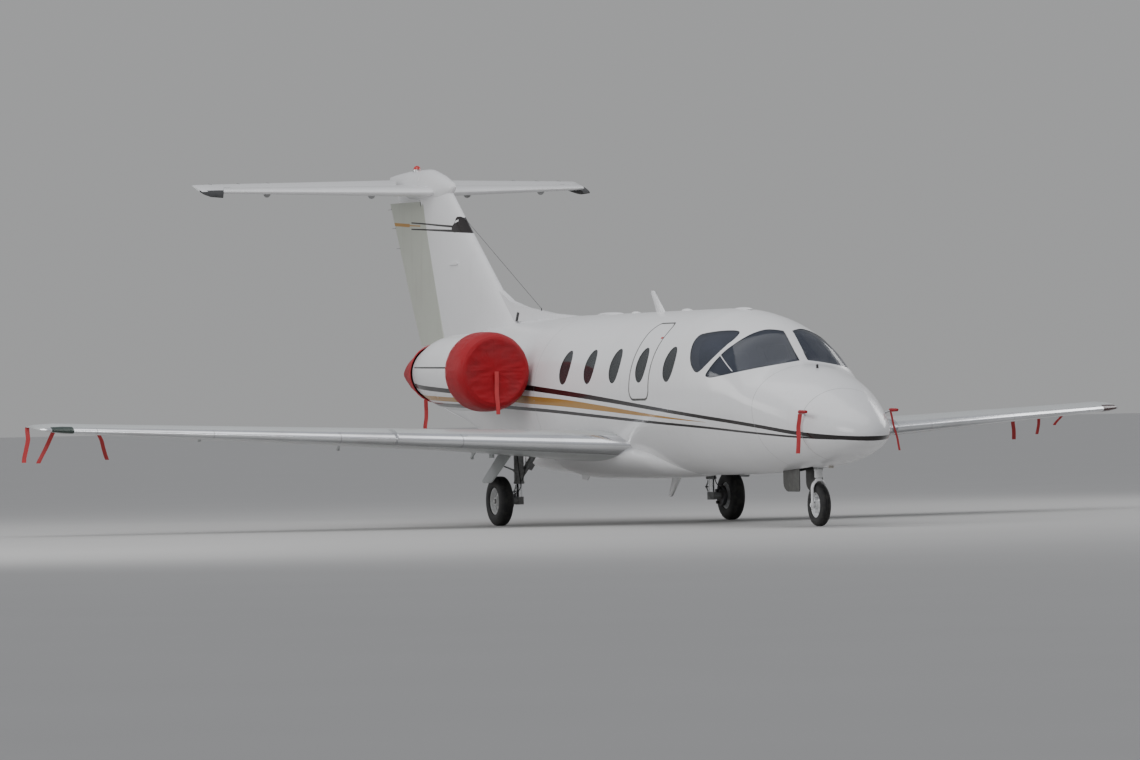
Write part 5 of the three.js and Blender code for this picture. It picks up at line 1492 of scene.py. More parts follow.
def ribbonMesh(top, length, width, heading, sway, seed, lean, thick=0.0012, count=30):
    # it hangs from its top, with its lower end blown a little along its heading
    rings, blown, facing = [], math.radians(lean), math.radians(heading)
    fall = Vector((math.cos(facing), math.sin(facing), 0)) * math.sin(blown) - zAxis * math.cos(blown)
    for i in range(count + 1):
        t = i / count
        drift = Vector((noise.noise(Vector((t * 1.6, seed, 1))), noise.noise(Vector((t * 1.6, seed, 5))), 0))
        spot = Vector(top) + fall * length * t + drift * sway * min(3 * t, 1) * 2
        turn = facing + 14 * sway * noise.noise(Vector((t * 1.3, seed, 9))) * min(2 * t, 1)
        side = Vector((math.cos(turn), math.sin(turn),
                       0.12 * noise.noise(Vector((t * 3, seed, 3))))).normalized()
        out = side.cross(zAxis).normalized()
        cup = 0.06 * width * math.sin(6 * t + seed)
        row = [side * (width * (k / 6 - 0.5)) + out * (cup * (1 - (2 * k / 6 - 1) ** 2)) for k in range(7)]
        rings.append([spot + p + out * thick / 2 for p in row]
                     + [spot + p - out * thick / 2 for p in row[::-1]])
    return loft(rings)


def addRibbon(name, top, length, width, heading, body="airframe", sway=0.02, seed=0.0, lean=0.0):
    mesh = ribbonMesh(top, length, width, heading, sway, seed, lean)
    piece = addPiece(name, shade(mesh, angle=60), body, "ribbonRed")


coverRibbons = {"intake": ((-0.321, 1.279, 1.752), 0.49, 0.05, 92, 2.0),
                "exhaust": ((-2.244, 1.43, 1.449), 0.34, 0.045, 70, 7.0)}
for side, sign in (("left", 1), ("right", -1)):
    for key, ((x, y, z), length, width, heading, seed) in coverRibbons.items():
        addRibbon(key + "_ribbon_" + side, (x, sign * y, z), length, width, heading,
                  seed=seed + sign)


# Landing gear. A rod's row has its two ends, counted from the leg's axis and from the ground, and its sizes

gear = {
    "mainX": 0.06, "mainY": 1.42, "mainRadius": 0.28, "strutY": 1.18,
    "strut": [(.85, 0), (.85, .056), (.64, .056), (.636, .064), (.606, .064), (.602, .056), (.5, .056),
              (.496, .062), (.474, .062), (.47, .052), (.47, 0)],
    "tyre": [(-.0576, .1523), (-.07, .156), (-.078, .175), (-.08, .205), (-.0785, .228), (-.071, .252),
             (-.06, .267), (-.048, .2755), (-.036, .279), (-.0335, .279), (-.0325, .2735), (-.0285, .2735),
             (-.0275, .2797), (-.0115, .28), (-.0105, .2742), (-.0065, .2742), (-.0055, .28)],
    "rim": [(-.0576, .1518), (-.0576, .146), (-.052, .1375), (-.044, .133), (-.026, .128), (-.02, .12),
            (-.018, .1), (-.018, .078), (-.024, .06), (-.04, .05), (-.052, .048), (-.052, .0288)],
    "holes": (9, 0.1, 0.0215), "hubCap": [(.0525, .026), (.068, .022), (.073, .014), (.074, 0), (.0525, 0)],
    "wingRods": [((0, 0, .505), (0, -.25, .86), .024), ((0, -.03, .56), (0, -.255, .9), .03, .034),
                 ((.03, -.07, .615), (.03, -.23, .9), .016), ((0, -.12, .64), (0, -.16, .7), .042)],
    "rods": [((-.03, 0, .512), (.03, 0, .512), .03), ((0, 0, .324), (0, 0, .236), .05),
             ((0, 0, .28), (0, .31, .28), .0278), ((0, 0, .28), (0, .106, .28), .04),
             ((-.104, -.032, .384), (-.104, .032, .384), .009),
             ((-.034, -.032, .45), (-.034, .032, .45), .01), ((-.034, -.032, .318), (-.034, .032, .318), .01),
             ((0, .05, .62), (0, .24, .7), .009), ((-.02, .03, .615), (.02, .03, .615), .018)],
    "scissors": ((.452, .388), (.318, .38)), "scissorReach": -.1, "scissorSides": (-.024, .015),
    "piston": [((0, 0, .48), (0, 0, .322), .034, .034, 48)],
    "disc": [(1.286, .04), (1.286, .112), (1.292, .118), (1.326, .118), (1.332, .112), (1.332, .04),
             (1.286, .04)],
    "hoses": [([(.05, .035, .8), (.062, .03, .7), (.066, .02, .6), (.075, .01, .5), (.1, .02, .43),
                (.1, .06, .38), (.08, .09, .352), (.072, .092, .338)], .011),
              ([(.03, -.075, .82), (.045, -.07, .72), (.062, -.045, .6), (.058, -.012, .5)], .008)],
    "door": (-0.14, 0.27, (1.318, 0.83), (1.582, 0.488), 0.014), "doorCorners": [.01, .01, .05, .06],
}
noseGear = {
    "x": 5.92, "radius": 0.2285, "holes": (8, 0.083, 0.012),
    "tyre": [(-.0403, .1343), (-.05, .138), (-.0555, .158), (-.056, .175), (-.053, .197), (-.045, .214),
             (-.034, .2235), (-.024, .2275), (-.0155, .2285), (-.0145, .2235), (-.0095, .2235),
             (-.0085, .2285)],
    "rim": [(-.0403, .1338), (-.0403, .129), (-.035, .121), (-.018, .115), (-.014, .1), (-.013, .06),
            (-.022, .045), (-.046, .036), (-.058, .034), (-.058, .0168)],
    "cylinder": [(.768, 0), (.768, .044), (.62, .044), (.616, .05), (.596, .05), (.592, .046), (.528, .046),
                 (.52, .042), (.52, 0)],
    "legRods": [((0, -.1247, .738), (0, .1247, .738), .028), ((0, 0, .58), (-.36, 0, .776), .017),
                ((-.36, -.05, .776), (-.36, .05, .776), .014), ((-.03, -.03, .61), (.06, -.03, .61), .012)],
    "forkRods": [((0, 0, .484), (0, 0, .506), .04, .04, 40),
                 ((0, .066, .2285), (0, .088, .2285), .033, .033, 40),
                 ((0, -.066, .2285), (0, -.088, .2285), .033, .033, 40),
                 ((0, -.098, .2285), (0, .098, .2285), .016),
                 ((0, -.1, .2285), (0, -.088, .2285), .022, .022, 6),
                 ((0, .088, .2285), (0, .1, .2285), .022, .022, 6)],
    "piston": [((0, 0, .5195), (0, 0, .5), .034, .034, 48)],
    "door": [(5.275, .66), (5.275, .432), (5.365, .372), (5.715, .372), (5.715, .66)],
    "doorCorners": [.005, .05, .06, .04, .005], "doorAt": (.128, .138),
}


def ringLathe(half, origin, sides=96):
    profile = half + [(-d, r) for d, r in half[::-1]]
    return lathe(profile + [profile[0]], origin, yAxis, sides)


def rodsFrom(rows, x, y=0):
    at = lambda p: Vector((x + p[0], y + p[1], p[2]))
    return [rod(at(a), at(b), *sizes) for a, b, *sizes in rows]


def wheelMeshes(x, y, radius, spec):
    # a tyre, and a rim with lightening holes and two rings of screws
    centre = Vector((x, y, radius))
    holes, holeAt, holeRadius = spec["holes"]
    spot = lambda r, a, d: centre + Vector((r * math.cos(a), d, r * math.sin(a)))
    drills = [rod(spot(holeAt, a, -0.1), spot(holeAt, a, 0.1), holeRadius, sides=20)
              for a in anglesAround(holes)]
    rim = carve(ringLathe(spec["rim"], centre), minus(*drills))
    flange, flangeRadius = spec["rim"][0]
    screws = []
    for r, depth, size, tall, finish, sides in (
            (holeAt, 0.004 - spec["rim"][6][0], 0.007, 0.01, "aluminium", 6),
            (flangeRadius - 0.008, 0.0005 - flange, 0.004, 0.003, "cast", 8)):
        for side in (-1, 1):
            spots = [spot(r, a + math.pi / holes, side * depth) for a in anglesAround(holes)]
            screws.append(heads(spots, [(0, side, 0)] * holes, size, tall, finish, sides))
    return ringLathe(spec["tyre"], centre, 128), rim, joined(screws)


strutX, strutY, axle = gear["mainX"], gear["strutY"], gear["mainRadius"]
mainTyre, mainRim, mainBolts = wheelMeshes(strutX, gear["mainY"], axle, gear)
addPair("main_tyre_rubber", mainTyre, "main_wheel_", "tyre", "main_tyre_", "tyre_rubber", angle=50)
addPair("main_rim", mainRim, "main_wheel_", "rim", "main_wheel_", "rim_paint", angle=38)
addPair("main_rim_bolts", mainBolts, "main_wheel_", "aluminium")

grownWing = surface(wing["rows"], grow=touchGap)
intoWing = [lathe(gear["strut"], (strutX, strutY, 0), zAxis, 48)] + rodsFrom(gear["wingRods"], strutX, strutY)
legParts = ([carve(part, minus(grownWing, *bodyCutters)) for part in intoWing]
            + rodsFrom(gear["rods"], strutX, strutY))
for z0, z1 in gear["scissors"]:
    # scissor arms from the cylinder's lug and the axle block to the apex bolt
    reach, (near, far) = gear["scissorReach"], gear["scissorSides"]
    arm = [(-.03, z0 - .015), (-.03, z0 + .015), (reach - .012, z1 + .008), (reach - .012, z1 - .008)]
    lug = [(-.03, z0 - .012), (-.03, z0 + .012), (-.06, z0 + .004), (-.06, z0 - .01)]
    for outline, low, high in ((arm, near, near + .009), (arm, far, far + .009), (lug, -.015, .015)):
        legParts.append(sidePlate([(strutX + a, b) for a, b in outline], strutY + low, strutY + high))
# the main legs are grey enamel, darkened further as painted shade under the wing
addPair("main_leg_steel", joined(legParts), "airframe", "legGrey", "main_gear_leg_", "gear_steel", angle=40)
addPair("main_leg_piston", rodsFrom(gear["piston"], strutX, strutY)[0], "airframe", "chrome")
brakeParts = [lathe(gear["disc"], (strutX, 0, axle), yAxis, 64)]
for a in (math.radians(40 + 50 * k) for k in range(5)):
    spot = Vector((strutX + .088 * math.cos(a), 0, axle + .088 * math.sin(a)))
    brakeParts.append(rod(spot + yAxis * 1.258, spot + yAxis * 1.287, .019, sides=24))
addPair("main_brake", joined(brakeParts), "airframe", "cast", angle=40)


def easyCurve(points, steps=8):
    found = []
    for a, b, c, d in fours(points):
        for t in (k / steps for k in range(steps)):
            found.append(0.5 * ((2 * b) + (c - a) * t + (2 * a - 5 * b + 4 * c - d) * t * t
                                + (3 * b - a - 3 * c + d) * t ** 3))
    return found + [points[-1]]


hoses = [bead(easyCurve([Vector((strutX + a, strutY + b, z)) for a, b, z in path]), thick, thick, "hose")
         for path, thick in gear["hoses"]]
addPair("main_brake_hose", joined(hoses), "airframe", "hose", angle=80)
hub = lathe(gear["hubCap"], (strutX, gear["mainY"], axle), yAxis, 40)
addPair("main_hub_cap", hub, "main_wheel_", "rim", angle=40)

doorBack, doorFront, doorTop, doorLow, doorThick = gear["door"]
doorAcross = Vector((0, doorLow[0] - doorTop[0], doorLow[1] - doorTop[1]))
reach = doorAcross.length
doorLine = roundCorners([(doorBack, 0), (doorFront, 0), (doorFront - .02, reach), (doorBack + .07, reach)],
                        gear["doorCorners"])
gearDoorMesh = carve(prism(doorLine, xAxis, doorAcross.normalized(), (0, *doorTop), 0, doorThick),
                     minus(grownWing))
addPair("main_gear_door_skin", gearDoorMesh, "airframe", wingPaint, "main_gear_door_", "grey_paint")

# Nose gear
noseX = noseGear["x"]
noseTyreMesh, noseRimMesh, noseBolts = wheelMeshes(noseX, 0, noseGear["radius"], noseGear)
addPiece("nose_tyre_rubber", shade(noseTyreMesh, angle=50), "nose_wheel", "tyre", "nose_tyre", "tyre_rubber")
addPiece("nose_rim", shade(noseRimMesh, angle=38), "nose_wheel", "rim", "nose_wheel", "rim_paint")
addPiece("nose_rim_bolts", shade(noseBolts), "nose_wheel", "aluminium")
noseLegMesh = joined([lathe(noseGear["cylinder"], (noseX, 0, 0), zAxis, 48)]
                     + rodsFrom(noseGear["legRods"], noseX))
addPiece("nose_leg_steel", shade(noseLegMesh, angle=40), "airframe", "rim", "nose_gear_leg", "gear_steel")


def forkArch():
    # a forged strap from one end of the axle over the tyre to the other: y, z and half width along x
    half = [(.077, .2285, .03), (.077, .262, .025), (.077, .31, .02), (.077, .36, .021), (.076, .4, .025)]
    half += [(.076 * math.cos(a), .4 + .095 * math.sin(a), .025 + .013 * math.sin(a))
             for a in (math.radians(d) for d in range(12, 90, 13))]
    path = half + [(0, .495, .038)] + [(-y, z, w) for y, z, w in half[::-1]]
    rings = []
    for i, (y, z, w) in enumerate(path):
        before, after = path[max(i - 1, 0)], path[min(i + 1, len(path) - 1)]
        along = Vector((0, after[0] - before[0], after[1] - before[1])).normalized()
        out = along.cross(xAxis)
        rings.append([Vector((noseX + a * w, y, z)) + out * b * .01 for a, b in
                      ((-1, -.5), (-.8, -1), (.8, -1), (1, -.5), (1, .5), (.8, 1), (-.8, 1), (-1, .5))])
    return loft(rings)


forkMesh = joined([forkArch()] + rodsFrom(noseGear["forkRods"], noseX))
addPiece("nose_fork_casting", shade(forkMesh, angle=40), "nose_steering", plainPaint, "nose_fork",
         "white_paint")
addPiece("nose_piston", shade(rodsFrom(noseGear["piston"], noseX)[0]), "nose_steering", "chrome")
noseDoorLine = roundCorners(noseGear["door"], noseGear["doorCorners"])
noseDoorMesh = carve(sidePlate(noseDoorLine, *noseGear["doorAt"]), minus(wholeHull))
# the nose gear doors are dark grey as painted shade under the belly
addPair("nose_door_skin", noseDoorMesh, "airframe", "doorGrey", "nose_gear_door_", "white_paint")
print("gear made")


# Cabin. A seat's row is its x, y, facing, width, depth, and the heights of its base and back

cabin = {
    "floor": (-0.2097, 5.23, 0.85, 0.02), "frontWall": 5.64, "clear": 0.004,
    "seats": [(2.48, .385, -1, .45, .5, .4, 1.02), (1.18, .385, 1, .45, .5, .4, 1.02),
              (.33, .385, 1, .45, .5, .4, 1.02)],
    "crew": (4.42, .325, 1, .44, .5, .41, 1.09), "backTilt": 11,
    "panelX": 5.4, "panelHalf": .64, "screens": ((-.36, .2), (-.12, .18), (.12, .18), (.36, .2)),
    "panel": [(0, .25), (0, .78), (-.06, .84), (-.19, .86), (-.2, .835), (-.09, .78), (-.11, .25)],
    "pedestal": [(-.06, 0), (-.06, .45), (-.3, .38), (-.62, .25), (-.62, 0)], "pedestalHalf": .11,
}
low, high, floorTop, thick = cabin["floor"]
seatRoom = within(hull(low - 0.01, cabin["frontWall"], f["wall"] + cabin["clear"]))
floorSlab = carve(block((low, -2, floorTop - thick), (high, 2, floorTop)), seatRoom)
addPiece("cabin_carpet", shade(floorSlab), "airframe", "carpet", "cabin_floor", "carpet")


def cushion(width, depth, height, crown=0.35, seed=0.0, sides=36, rows=14):
    # a stuffed form: a rounded box whose faces swell towards their middles, with soft irregularity
    power = lambda value, n: math.copysign(abs(value) ** n, value)
    rings = []
    for j in range(rows + 1):
        v = math.pi * j / rows
        ring = []
        for u in anglesAround(sides):
            x = power(math.cos(u), 0.38) * power(math.sin(v), 0.38)
            y = power(math.sin(u), 0.38) * power(math.sin(v), 0.38)
            z = power(math.cos(v), 0.55)
            swell = 1 + crown * 0.12 * (1 - x * x) * (1 - y * y) * 2
            dent = 0.006 * noise.noise(Vector((x * 2.2, y * 2.2, z * 2 + seed)))
            ring.append(Vector((x * depth / 2, y * width / 2, z * height / 2 * swell + dent)))
        rings.append([ring[0]] if j in (0, rows) else ring)
    return loft(rings)


def placed(mesh, spot, pitch=0.0):
    turn = Quaternion(yAxis, math.radians(pitch))
    return reshape(mesh, lambda p: turn @ p + Vector(spot))


seatFrames = []
seatSpots = [(row, side, False) for row in cabin["seats"] for side in (1, -1)]
seatSpots += [(cabin["crew"], side, True) for side in (1, -1)]
for number, (row, side, crew) in enumerate(seatSpots):
    x, y, way, wide, deep, baseHeight, backTop = row
    y *= side
    name = ("crew_seat_" if crew else "cabin_seat_") + str(number + 1)
    node = ("pilot_seat_left" if side > 0 else "pilot_seat_right") if crew else ()
    width, pitch, seatTop = wide * 0.9, 90 - cabin["backTilt"] * way, floorTop + baseHeight
    backHeight, backX = (backTop - baseHeight) * 0.8, x - way * (deep / 2 + 0.015)
    base = placed(cushion(width, deep * 0.94, 0.12, seed=number), (x, y, seatTop - 0.075))
    back = placed(cushion(width, backHeight, 0.11, seed=number + 9),
                  (backX, y, seatTop + backHeight / 2 - 0.02), pitch)
    head = placed(cushion(width * 0.62, 0.17, 0.1, seed=number + 20),
                  (backX - way * 0.075, y, floorTop + backTop - 0.06), pitch)
    for suffix, mesh, covered in (("_base", base, node), ("_back", back, ()), ("_head", head, ())):
        piece = addPiece(name + suffix, shade(carve(mesh, seatRoom), angle=70), "airframe",
                         "crewLeather" if crew else "seatLeather", covered,
                         "seat_leather" if covered else None)
    for armSide in (-1, 1):
        armY = y + armSide * (wide / 2 + 0.005)
        arm = block((x - 0.2, armY - 0.025, seatTop + 0.12), (x + 0.17, armY + 0.025, seatTop + 0.17))
        seatFrames.append(carve(arm, seatRoom))
    seatFrames.append(block((x - 0.2, y - 0.16, floorTop), (x + 0.2, y + 0.16, seatTop - 0.15)))
addPiece("seat_frames", shade(joined(seatFrames)), "airframe", "panelPlastic")

panelX, half = cabin["panelX"], cabin["panelHalf"]
panelMesh = carve(sidePlate([(panelX + a, floorTop + b) for a, b in cabin["panel"]], -half, half), seatRoom)
half = cabin["pedestalHalf"]
pedestalMesh = sidePlate([(panelX + a, floorTop + b + touchGap) for a, b in cabin["pedestal"]], -half, half)
panelMesh = carve(panelMesh, plus(pedestalMesh))
addPiece("instrument_panel_shell", shade(panelMesh), "airframe", "panelPlastic", "instrument_panel",
         "panel_black")
face = lambda y, z, lift: Vector((panelX - 0.1 - 0.018 * (z - 1.35) - lift, y, z))
screens, bezels, levers = [], [], []
for y, wide in cabin["screens"]:
    screens.append(block(face(y - wide / 2, 1.3, .004), face(y + wide / 2, 1.5, -.002)))
    low, high = y - wide / 2 - .012, y + wide / 2 + .012
    frameLine = roundCorners([(low, 1.288), (high, 1.288), (high, 1.512), (low, 1.512)], .012)
    bezels.append(bead([face(a, b, .004) for a, b in densify(frameLine, .05)], .012, .01, "aluminium", True))
for side in (-1, 1):
    # control wheels on their columns
    centre = Vector((panelX - 0.34, side * .33, 1.3))
    bow = [centre + Vector((0, .14 * math.sin(a), .1 * math.cos(a)))
           for a in map(math.radians, range(50, 311, 10))]
    levers.append(bead(bow, .026, .026, "panelPlastic"))
    levers.append(rod(centre, (panelX - 0.1, side * .33, 1.28), .016, sides=16))
    levers.append(rod(centre + yAxis * .08 - zAxis * .06, centre - yAxis * .08 - zAxis * .06, .014, sides=12))
for y in (-.03, 0, .03):
    levers.append(rod((panelX - .36, y, 1.2), (panelX - .4, y, 1.32), .007, sides=10))
    levers.append(rod((panelX - .4, y - .012, 1.32), (panelX - .4, y + .012, 1.32), .014, sides=16))
addPiece("panel_screens", shade(joined(screens)), "airframe", "screenGlass")
addPiece("panel_bezels", shade(joined(bezels), angle=70), "airframe", "aluminium")
addPiece("control_wheels", shade(joined(levers), angle=60), "airframe", "panelPlastic")
print("cabin made")


# Antennas, probes, lights, wicks, ribbons and fasteners

fittings = {
    "blades": [([(1.68, 2.37), (1.45, 2.37), (1.25, 2.6), (1.275, 2.622), (1.345, 2.612)], .012),
               ([(2.05, .515), (1.8, .515), (1.66, .32), (1.68, .3), (1.74, .305)], .011),
               ([(-.86, .57), (-.93, .57), (-.965, .5), (-.93, .495)], .008),
               ([(-.6, .6), (-1.0, .625), (-.98, .49), (-.8, .48)], .009)],
    "domes": [((.02, 0, 2.374), (.34, .1, .028)), ((.79, 0, 2.375), (.07, .05, .022)),
              ((2.31, 0, 2.375), (.1, .055, .026)), ((3.9, 0, 2.355), (.27, .045, .03))],
    "wire": [((-4.6, 0, 3.6), (-2.16, 0, 2.485), .0026, .0026, 10),
             ((-2.14, 0, 2.34), (-2.16, 0, 2.49), .011, .006, 16),
             ((-4.66, 0, 3.615), (-4.58, 0, 3.591), .009, .009, 12)],
    "probeX": 5.945, "beacon": (-6.23, 0, 4.225), "tailLight": (-7.128, 4.145),
    "wingLights": (6.34, 6.56, .1), "landingLights": (2.02, 2.29, .03, .015),
    "wingWicks": (6.05, 6.22, 6.4), "elevatorWicks": (1.6, 1.95, 2.28), "rudderWicks": (3.3, 3.55, 3.78),
    "tailHinges": (.62, 1.78), "tailHingeSize": (.11, .026, .05),
    "finVent": [(-4.88, 3.058), (-4.59, 3.058), (-4.59, 3.088), (-4.88, 3.088)],
    "dorsalVent": [(-2.915, 2.352), (-2.845, 2.346), (-2.785, 2.449), (-2.855, 2.455)],
    "stormLine": (4.8, 1.885, .42, -.205), "pitotAt": (6.66, 1.2),
    "sleeve": (.126, .21), "sleeveCloth": .0012, "headingToView": 68,
    "rivetBelts": (6.632, 6.608, 5.762, 5.738, -.288, -.312), "rivetShares": (.075, .3, .58),
}


def blade(outline, half):
    # a thin streamlined blade in the side plane: full in the middle, sharp at both edges
    middle = Vector((sum(p[0] for p in outline) / len(outline), 0, sum(p[1] for p in outline) / len(outline)))
    rings = []
    for share in (-1, -0.6, 0, 0.6, 1):
        wide, tall = 1 - 0.22 * share ** 2, 1 - 0.03 * abs(share)
        rings.append([Vector((middle.x + (x - middle.x) * wide, share * half,
                              middle.z + (z - middle.z) * tall))
                      for x, z in outline])
    return loft(rings)


def dome(spot, size, sides=32, rows=8):
    # half an ellipsoid on the skin
    rings = []
    for a in (math.pi / 2 * j / rows for j in range(rows)):
        rings.append([Vector(spot) + Vector((size[0] * math.cos(a) * math.cos(b),
                                             size[1] * math.cos(a) * math.sin(b),
                                             size[2] * math.sin(a))) for b in anglesAround(sides)])
    return loft(rings + [[Vector(spot) + zAxis * size[2]]])


antennas = [blade(*row) for row in fittings["blades"]] + [dome(*row) for row in fittings["domes"]]
addPiece("antennas", shade(joined(antennas), angle=50), "airframe", plainPaint)
probeX = fittings["probeX"]
probe = Vector((probeX, 0, hullAt(probeX)["crown"] - .004))
probeParts = [rod(probe, probe + zAxis * .03, .014, .012, 16),
              dome(probe + zAxis * .0295, (.024, .014, .016), 20, 5)]
addPiece("nose_probe", shade(joined(probeParts)), "airframe", "boot")
addPiece("aerial_wire", shade(joined([rod(*row) for row in fittings["wire"]])), "airframe", "cast")

# Lights
beacon = Vector(fittings["beacon"])
addPiece("beacon_base", shade(rod(beacon, beacon + zAxis * .025, .05)), "airframe", "aluminium")
addPiece("beacon_lens", shade(dome(beacon + zAxis * .024, (.045, .045, .05)), angle=60), "airframe",
         "redLens")
lightX, lightZ = fittings["tailLight"]
tailLens = reshape(dome((0, 0, 0), (.02, .028, .03)), lambda p: Vector((lightX - p.z, p.y, lightZ + p.x)))
addPiece("tail_light_lens", shade(outward(tailLens), angle=60), "airframe", "clearLens")


def lensOver(name, finish, low, high, share, half=0.3):
    # a glass cover that follows the leading edge
    nose = skinPoints(wing["rows"], (low + high) / 2, 0)[2].z
    glass = surface(wing["rows"], 0, share, grow=0.0016)
    for label in ("left", "right"):
        mesh = carve(glass, within(block((-9, low, nose - half), (9, high, nose + half))))
        mesh = mesh if label == "left" else mirrored(mesh)
        addPiece(name + "_" + label, shade(mesh, angle=40), "airframe", finish[label])


glassTints = {"left": glazing("red tinted wing light glass", (.05, .012, .012), .9, .08),
              "right": glazing("green tinted wing light glass", (.012, .03, .022), .9, .08)}
lensOver("wing_light_glass", glassTints, *fittings["wingLights"])
landingGlass = glazing("landing light glass", (.78, .79, .8), .92, .06)
lensOver("landing_light_glass", {"left": landingGlass, "right": landingGlass}, *fittings["landingLights"])

# Static wicks trail from the tips

def wick(spot, length=0.11):
    x, y, z = spot
    return joined([rod((x + .03, y, z), (x - .012, y, z), .0045, .0035, 10),
                   rod((x - .012, y, z), (x - length, y, z - .003), .0022, .0014, 8)])


trailAt = lambda rows, y, camber: skinPoints(rows, y, 0.995, camber)[2]
wingWicks = [wick(trailAt(wing["rows"], y, .018)) for y in fittings["wingWicks"]]
addPair("wing_wicks", joined(wingWicks), "airframe", "hose")
elevatorWicks = [wick(trailAt(tail["rows"], y, 0), .09) for y in fittings["elevatorWicks"]]
addPair("elevator_wicks", rest(joined(elevatorWicks)), "elevator_", "hose")
rudderWicks = [spin(wick((-6.655 - (z - 3.45) * .522 + .006, 0, z), .1)) for z in fittings["rudderWicks"]]
addPiece("rudder_wicks", shade(joined(rudderWicks)), "rudder", "hose")

# Hinge fairings under the tailplane, vents on the fin and in its dorsal plate
fairings = []
for y in fittings["tailHinges"]:
    seat = skinPoints(tail["rows"], y, .4, 0)[1] + zAxis * .004
    fairing = reshape(dome((0, 0, 0), fittings["tailHingeSize"]), lambda p: Vector((p.x, p.y, -p.z)) + seat)
    fairings.append(outward(fairing))
# the hinge fairings are grey as painted shade under the tailplane
addPair("tail_hinge_fairings", joined(fairings), "airframe", "legGrey", angle=60)
# the dorsal vent's black plate is painted shade standing for the dark inlet opening
for name, line, corner, place, half, finish in (
        ("fin_vents", "finVent", .014, .117, .012, plainPaint),
        ("dorsal_vents", "dorsalVent", .012, .0365, .0022, "boot")):
    plates = [prism(roundCorners(fittings[line], corner), xAxis, zAxis, (0, 0, 0), side * place - half,
                    side * place + half) for side in (-1, 1)]
    addPiece(name, shade(joined(plates)), "airframe", finish)

# Pitot tubes under sewn red sleeves
for side, sign in (("left", 1), ("right", -1)):
    root, out = skinAt(*fittings["pitotAt"], sign)
    tip = root + out * .075
    mast = [rod(root - out * .01, tip, .011, .008, 16),
            rod(tip - xAxis * .01, tip + xAxis * .1, .008, sides=16)]
    addPiece("pitot_tube_" + side, shade(joined(mast)), "airframe", "aluminium")
    rings = []
    for inward in (0, fittings["sleeveCloth"]):
        rows = []
        for k in range(19):
            t = k / 18
            radius = (.02 - .004 * t) * (1 if k < 18 else .55) - inward
            middle = tip + xAxis * (-.02 + .19 * t - (inward if k == 18 else 0))
            rows.append([middle + Vector((0, math.cos(u), math.sin(u))) * (radius + .0016 * noise.noise(
                Vector((math.cos(u) * 2, math.sin(u) * 2, t * 5 + sign)))) for u in anglesAround(28)])
        rows.append([tip + xAxis * (.172 - inward)])
        rings.append(rows)
    sleeve = loft(rings[0] + rings[1][::-1])
    piece = addPiece("pitot_cover_" + side, shade(sleeve, angle=60), "airframe", "redVinyl")
    addRibbon("pitot_ribbon_" + side, tip + Vector((-.012, 0, -.021)), .42, .045 if sign < 0 else .022,
              fittings["headingToView"], sway=.012, seed=3.0 * sign + 12,
              lean=-4 if sign < 0 else 13)

# Ribbons on the wing tips' trailing edges: y, length, width and lean
tipRibbons = {"right": ((6.6, .4, .05, -4), (6.28, .44, .05, -26), (5.82, .36, .045, 20)),
              "left": ((5.516, .32, .045, 0), (5.915, .3, .035, -12), (6.265, .25, .035, -30))}
for side, row in tipRibbons.items():
    sign = 1 if side == "left" else -1
    for number, (y, length, width, lean) in enumerate(row):
        spot = trailAt(wing["rows"], y, .018)
        top = Vector((spot.x + .012, sign * y, spot.z - .006))
        body = "roll_trim_" + side if wing["trimSpan"][0] < y < wing["trimSpan"][1] else "airframe"
        addRibbon(f"wing_ribbon_{side}_{number + 1}", top, length, width, fittings["headingToView"],
                  body, lean=lean, sway=.012, seed=20 + 3 * number + sign)

# Storm window line, door and exit handles
x, z, along, rise = fittings["stormLine"]
stormLine = [skinAt(x + along * k / 12, z + rise * k / 12, -1, .001)[0] for k in range(13)]
storm = bead(stormLine, .014, .005, plainPaint)
addPair("storm_window_frame", mirrored(storm), "airframe", plainPaint, angle=70)
for name, x, z, side, (half, tall), corner, depth, body, finish in (
        ("exit_release", 3.13, 2.07, -1, (.03, .012), .008, .004, "airframe", "redLens"),
        ("door_handle", 3.24, 1.5, 1, (.06, .016), .014, .006, "cabin_door", "aluminium")):
    spot, out = skinAt(x, z, side)
    outline = roundCorners([(-half, -tall), (half, -tall), (half, tall), (-half, tall)], corner)
    handle = prism(outline, xAxis, out.cross(xAxis).normalized(), spot, -depth, depth)
    addPiece(name, shade(handle), body, finish)


# Fasteners: rows of flush heads along seams and frames, set by Geometry Nodes

def besideLine(outline, grow, spacing, side=-1, plane=None):
    found, last = [], None
    for spot in seatedLine(densify(growOutline(outline, grow), .02), side, .0, plane):
        if last is None or (spot - last).length > spacing:
            normal = skinTree.find_nearest(spot)[1]
            found.append((spot + normal * .0002, normal))
            last = spot
    return found


beltCount = 102
spots = [hullPoint(x, 360 * k / beltCount, .0002) for x in fittings["rivetBelts"] for k in range(beltCount)]
for line, side in ((quarterLine, -1), (quarterLine, 1), (frameOutline(openings["exit"], .018), -1)):
    spots += besideLine(line, .014, .04, side)
glass = [(p, n) for p, n in besideLine(windshieldLine, .016, .04, -1, windshieldAcross) if p.y < -post]
spots += glass + [(Vector((p.x, -p.y, p.z)), Vector((n.x, -n.y, n.z))) for p, n in glass]
addPiece("skin_fasteners", shade(heads(*zip(*spots), .0026, .0004, plainPaint)), "airframe", plainPaint)
wingSpots = []
for share in fittings["rivetShares"]:
    for y in (.95 + 5.4 * k / 109 for k in range(110)):
        here, outer, aft = (skinPoints(wing["rows"], *at)
                            for at in ((y, share), (y + .05, share), (y, share + .02)))
        for which, side in ((0, 1), (1, -1)):
            normal = (outer[which] - here[which]).cross(aft[which] - here[which]).normalized()
            normal = normal if normal.z * side > 0 else -normal
            wingSpots.append((here[which] + normal * .0002, normal))
inFairing = lambda p: p.x < 2.9 and fairingAt(p.x)["halfWidth"] + .02 > p.y and p.z < 1.0
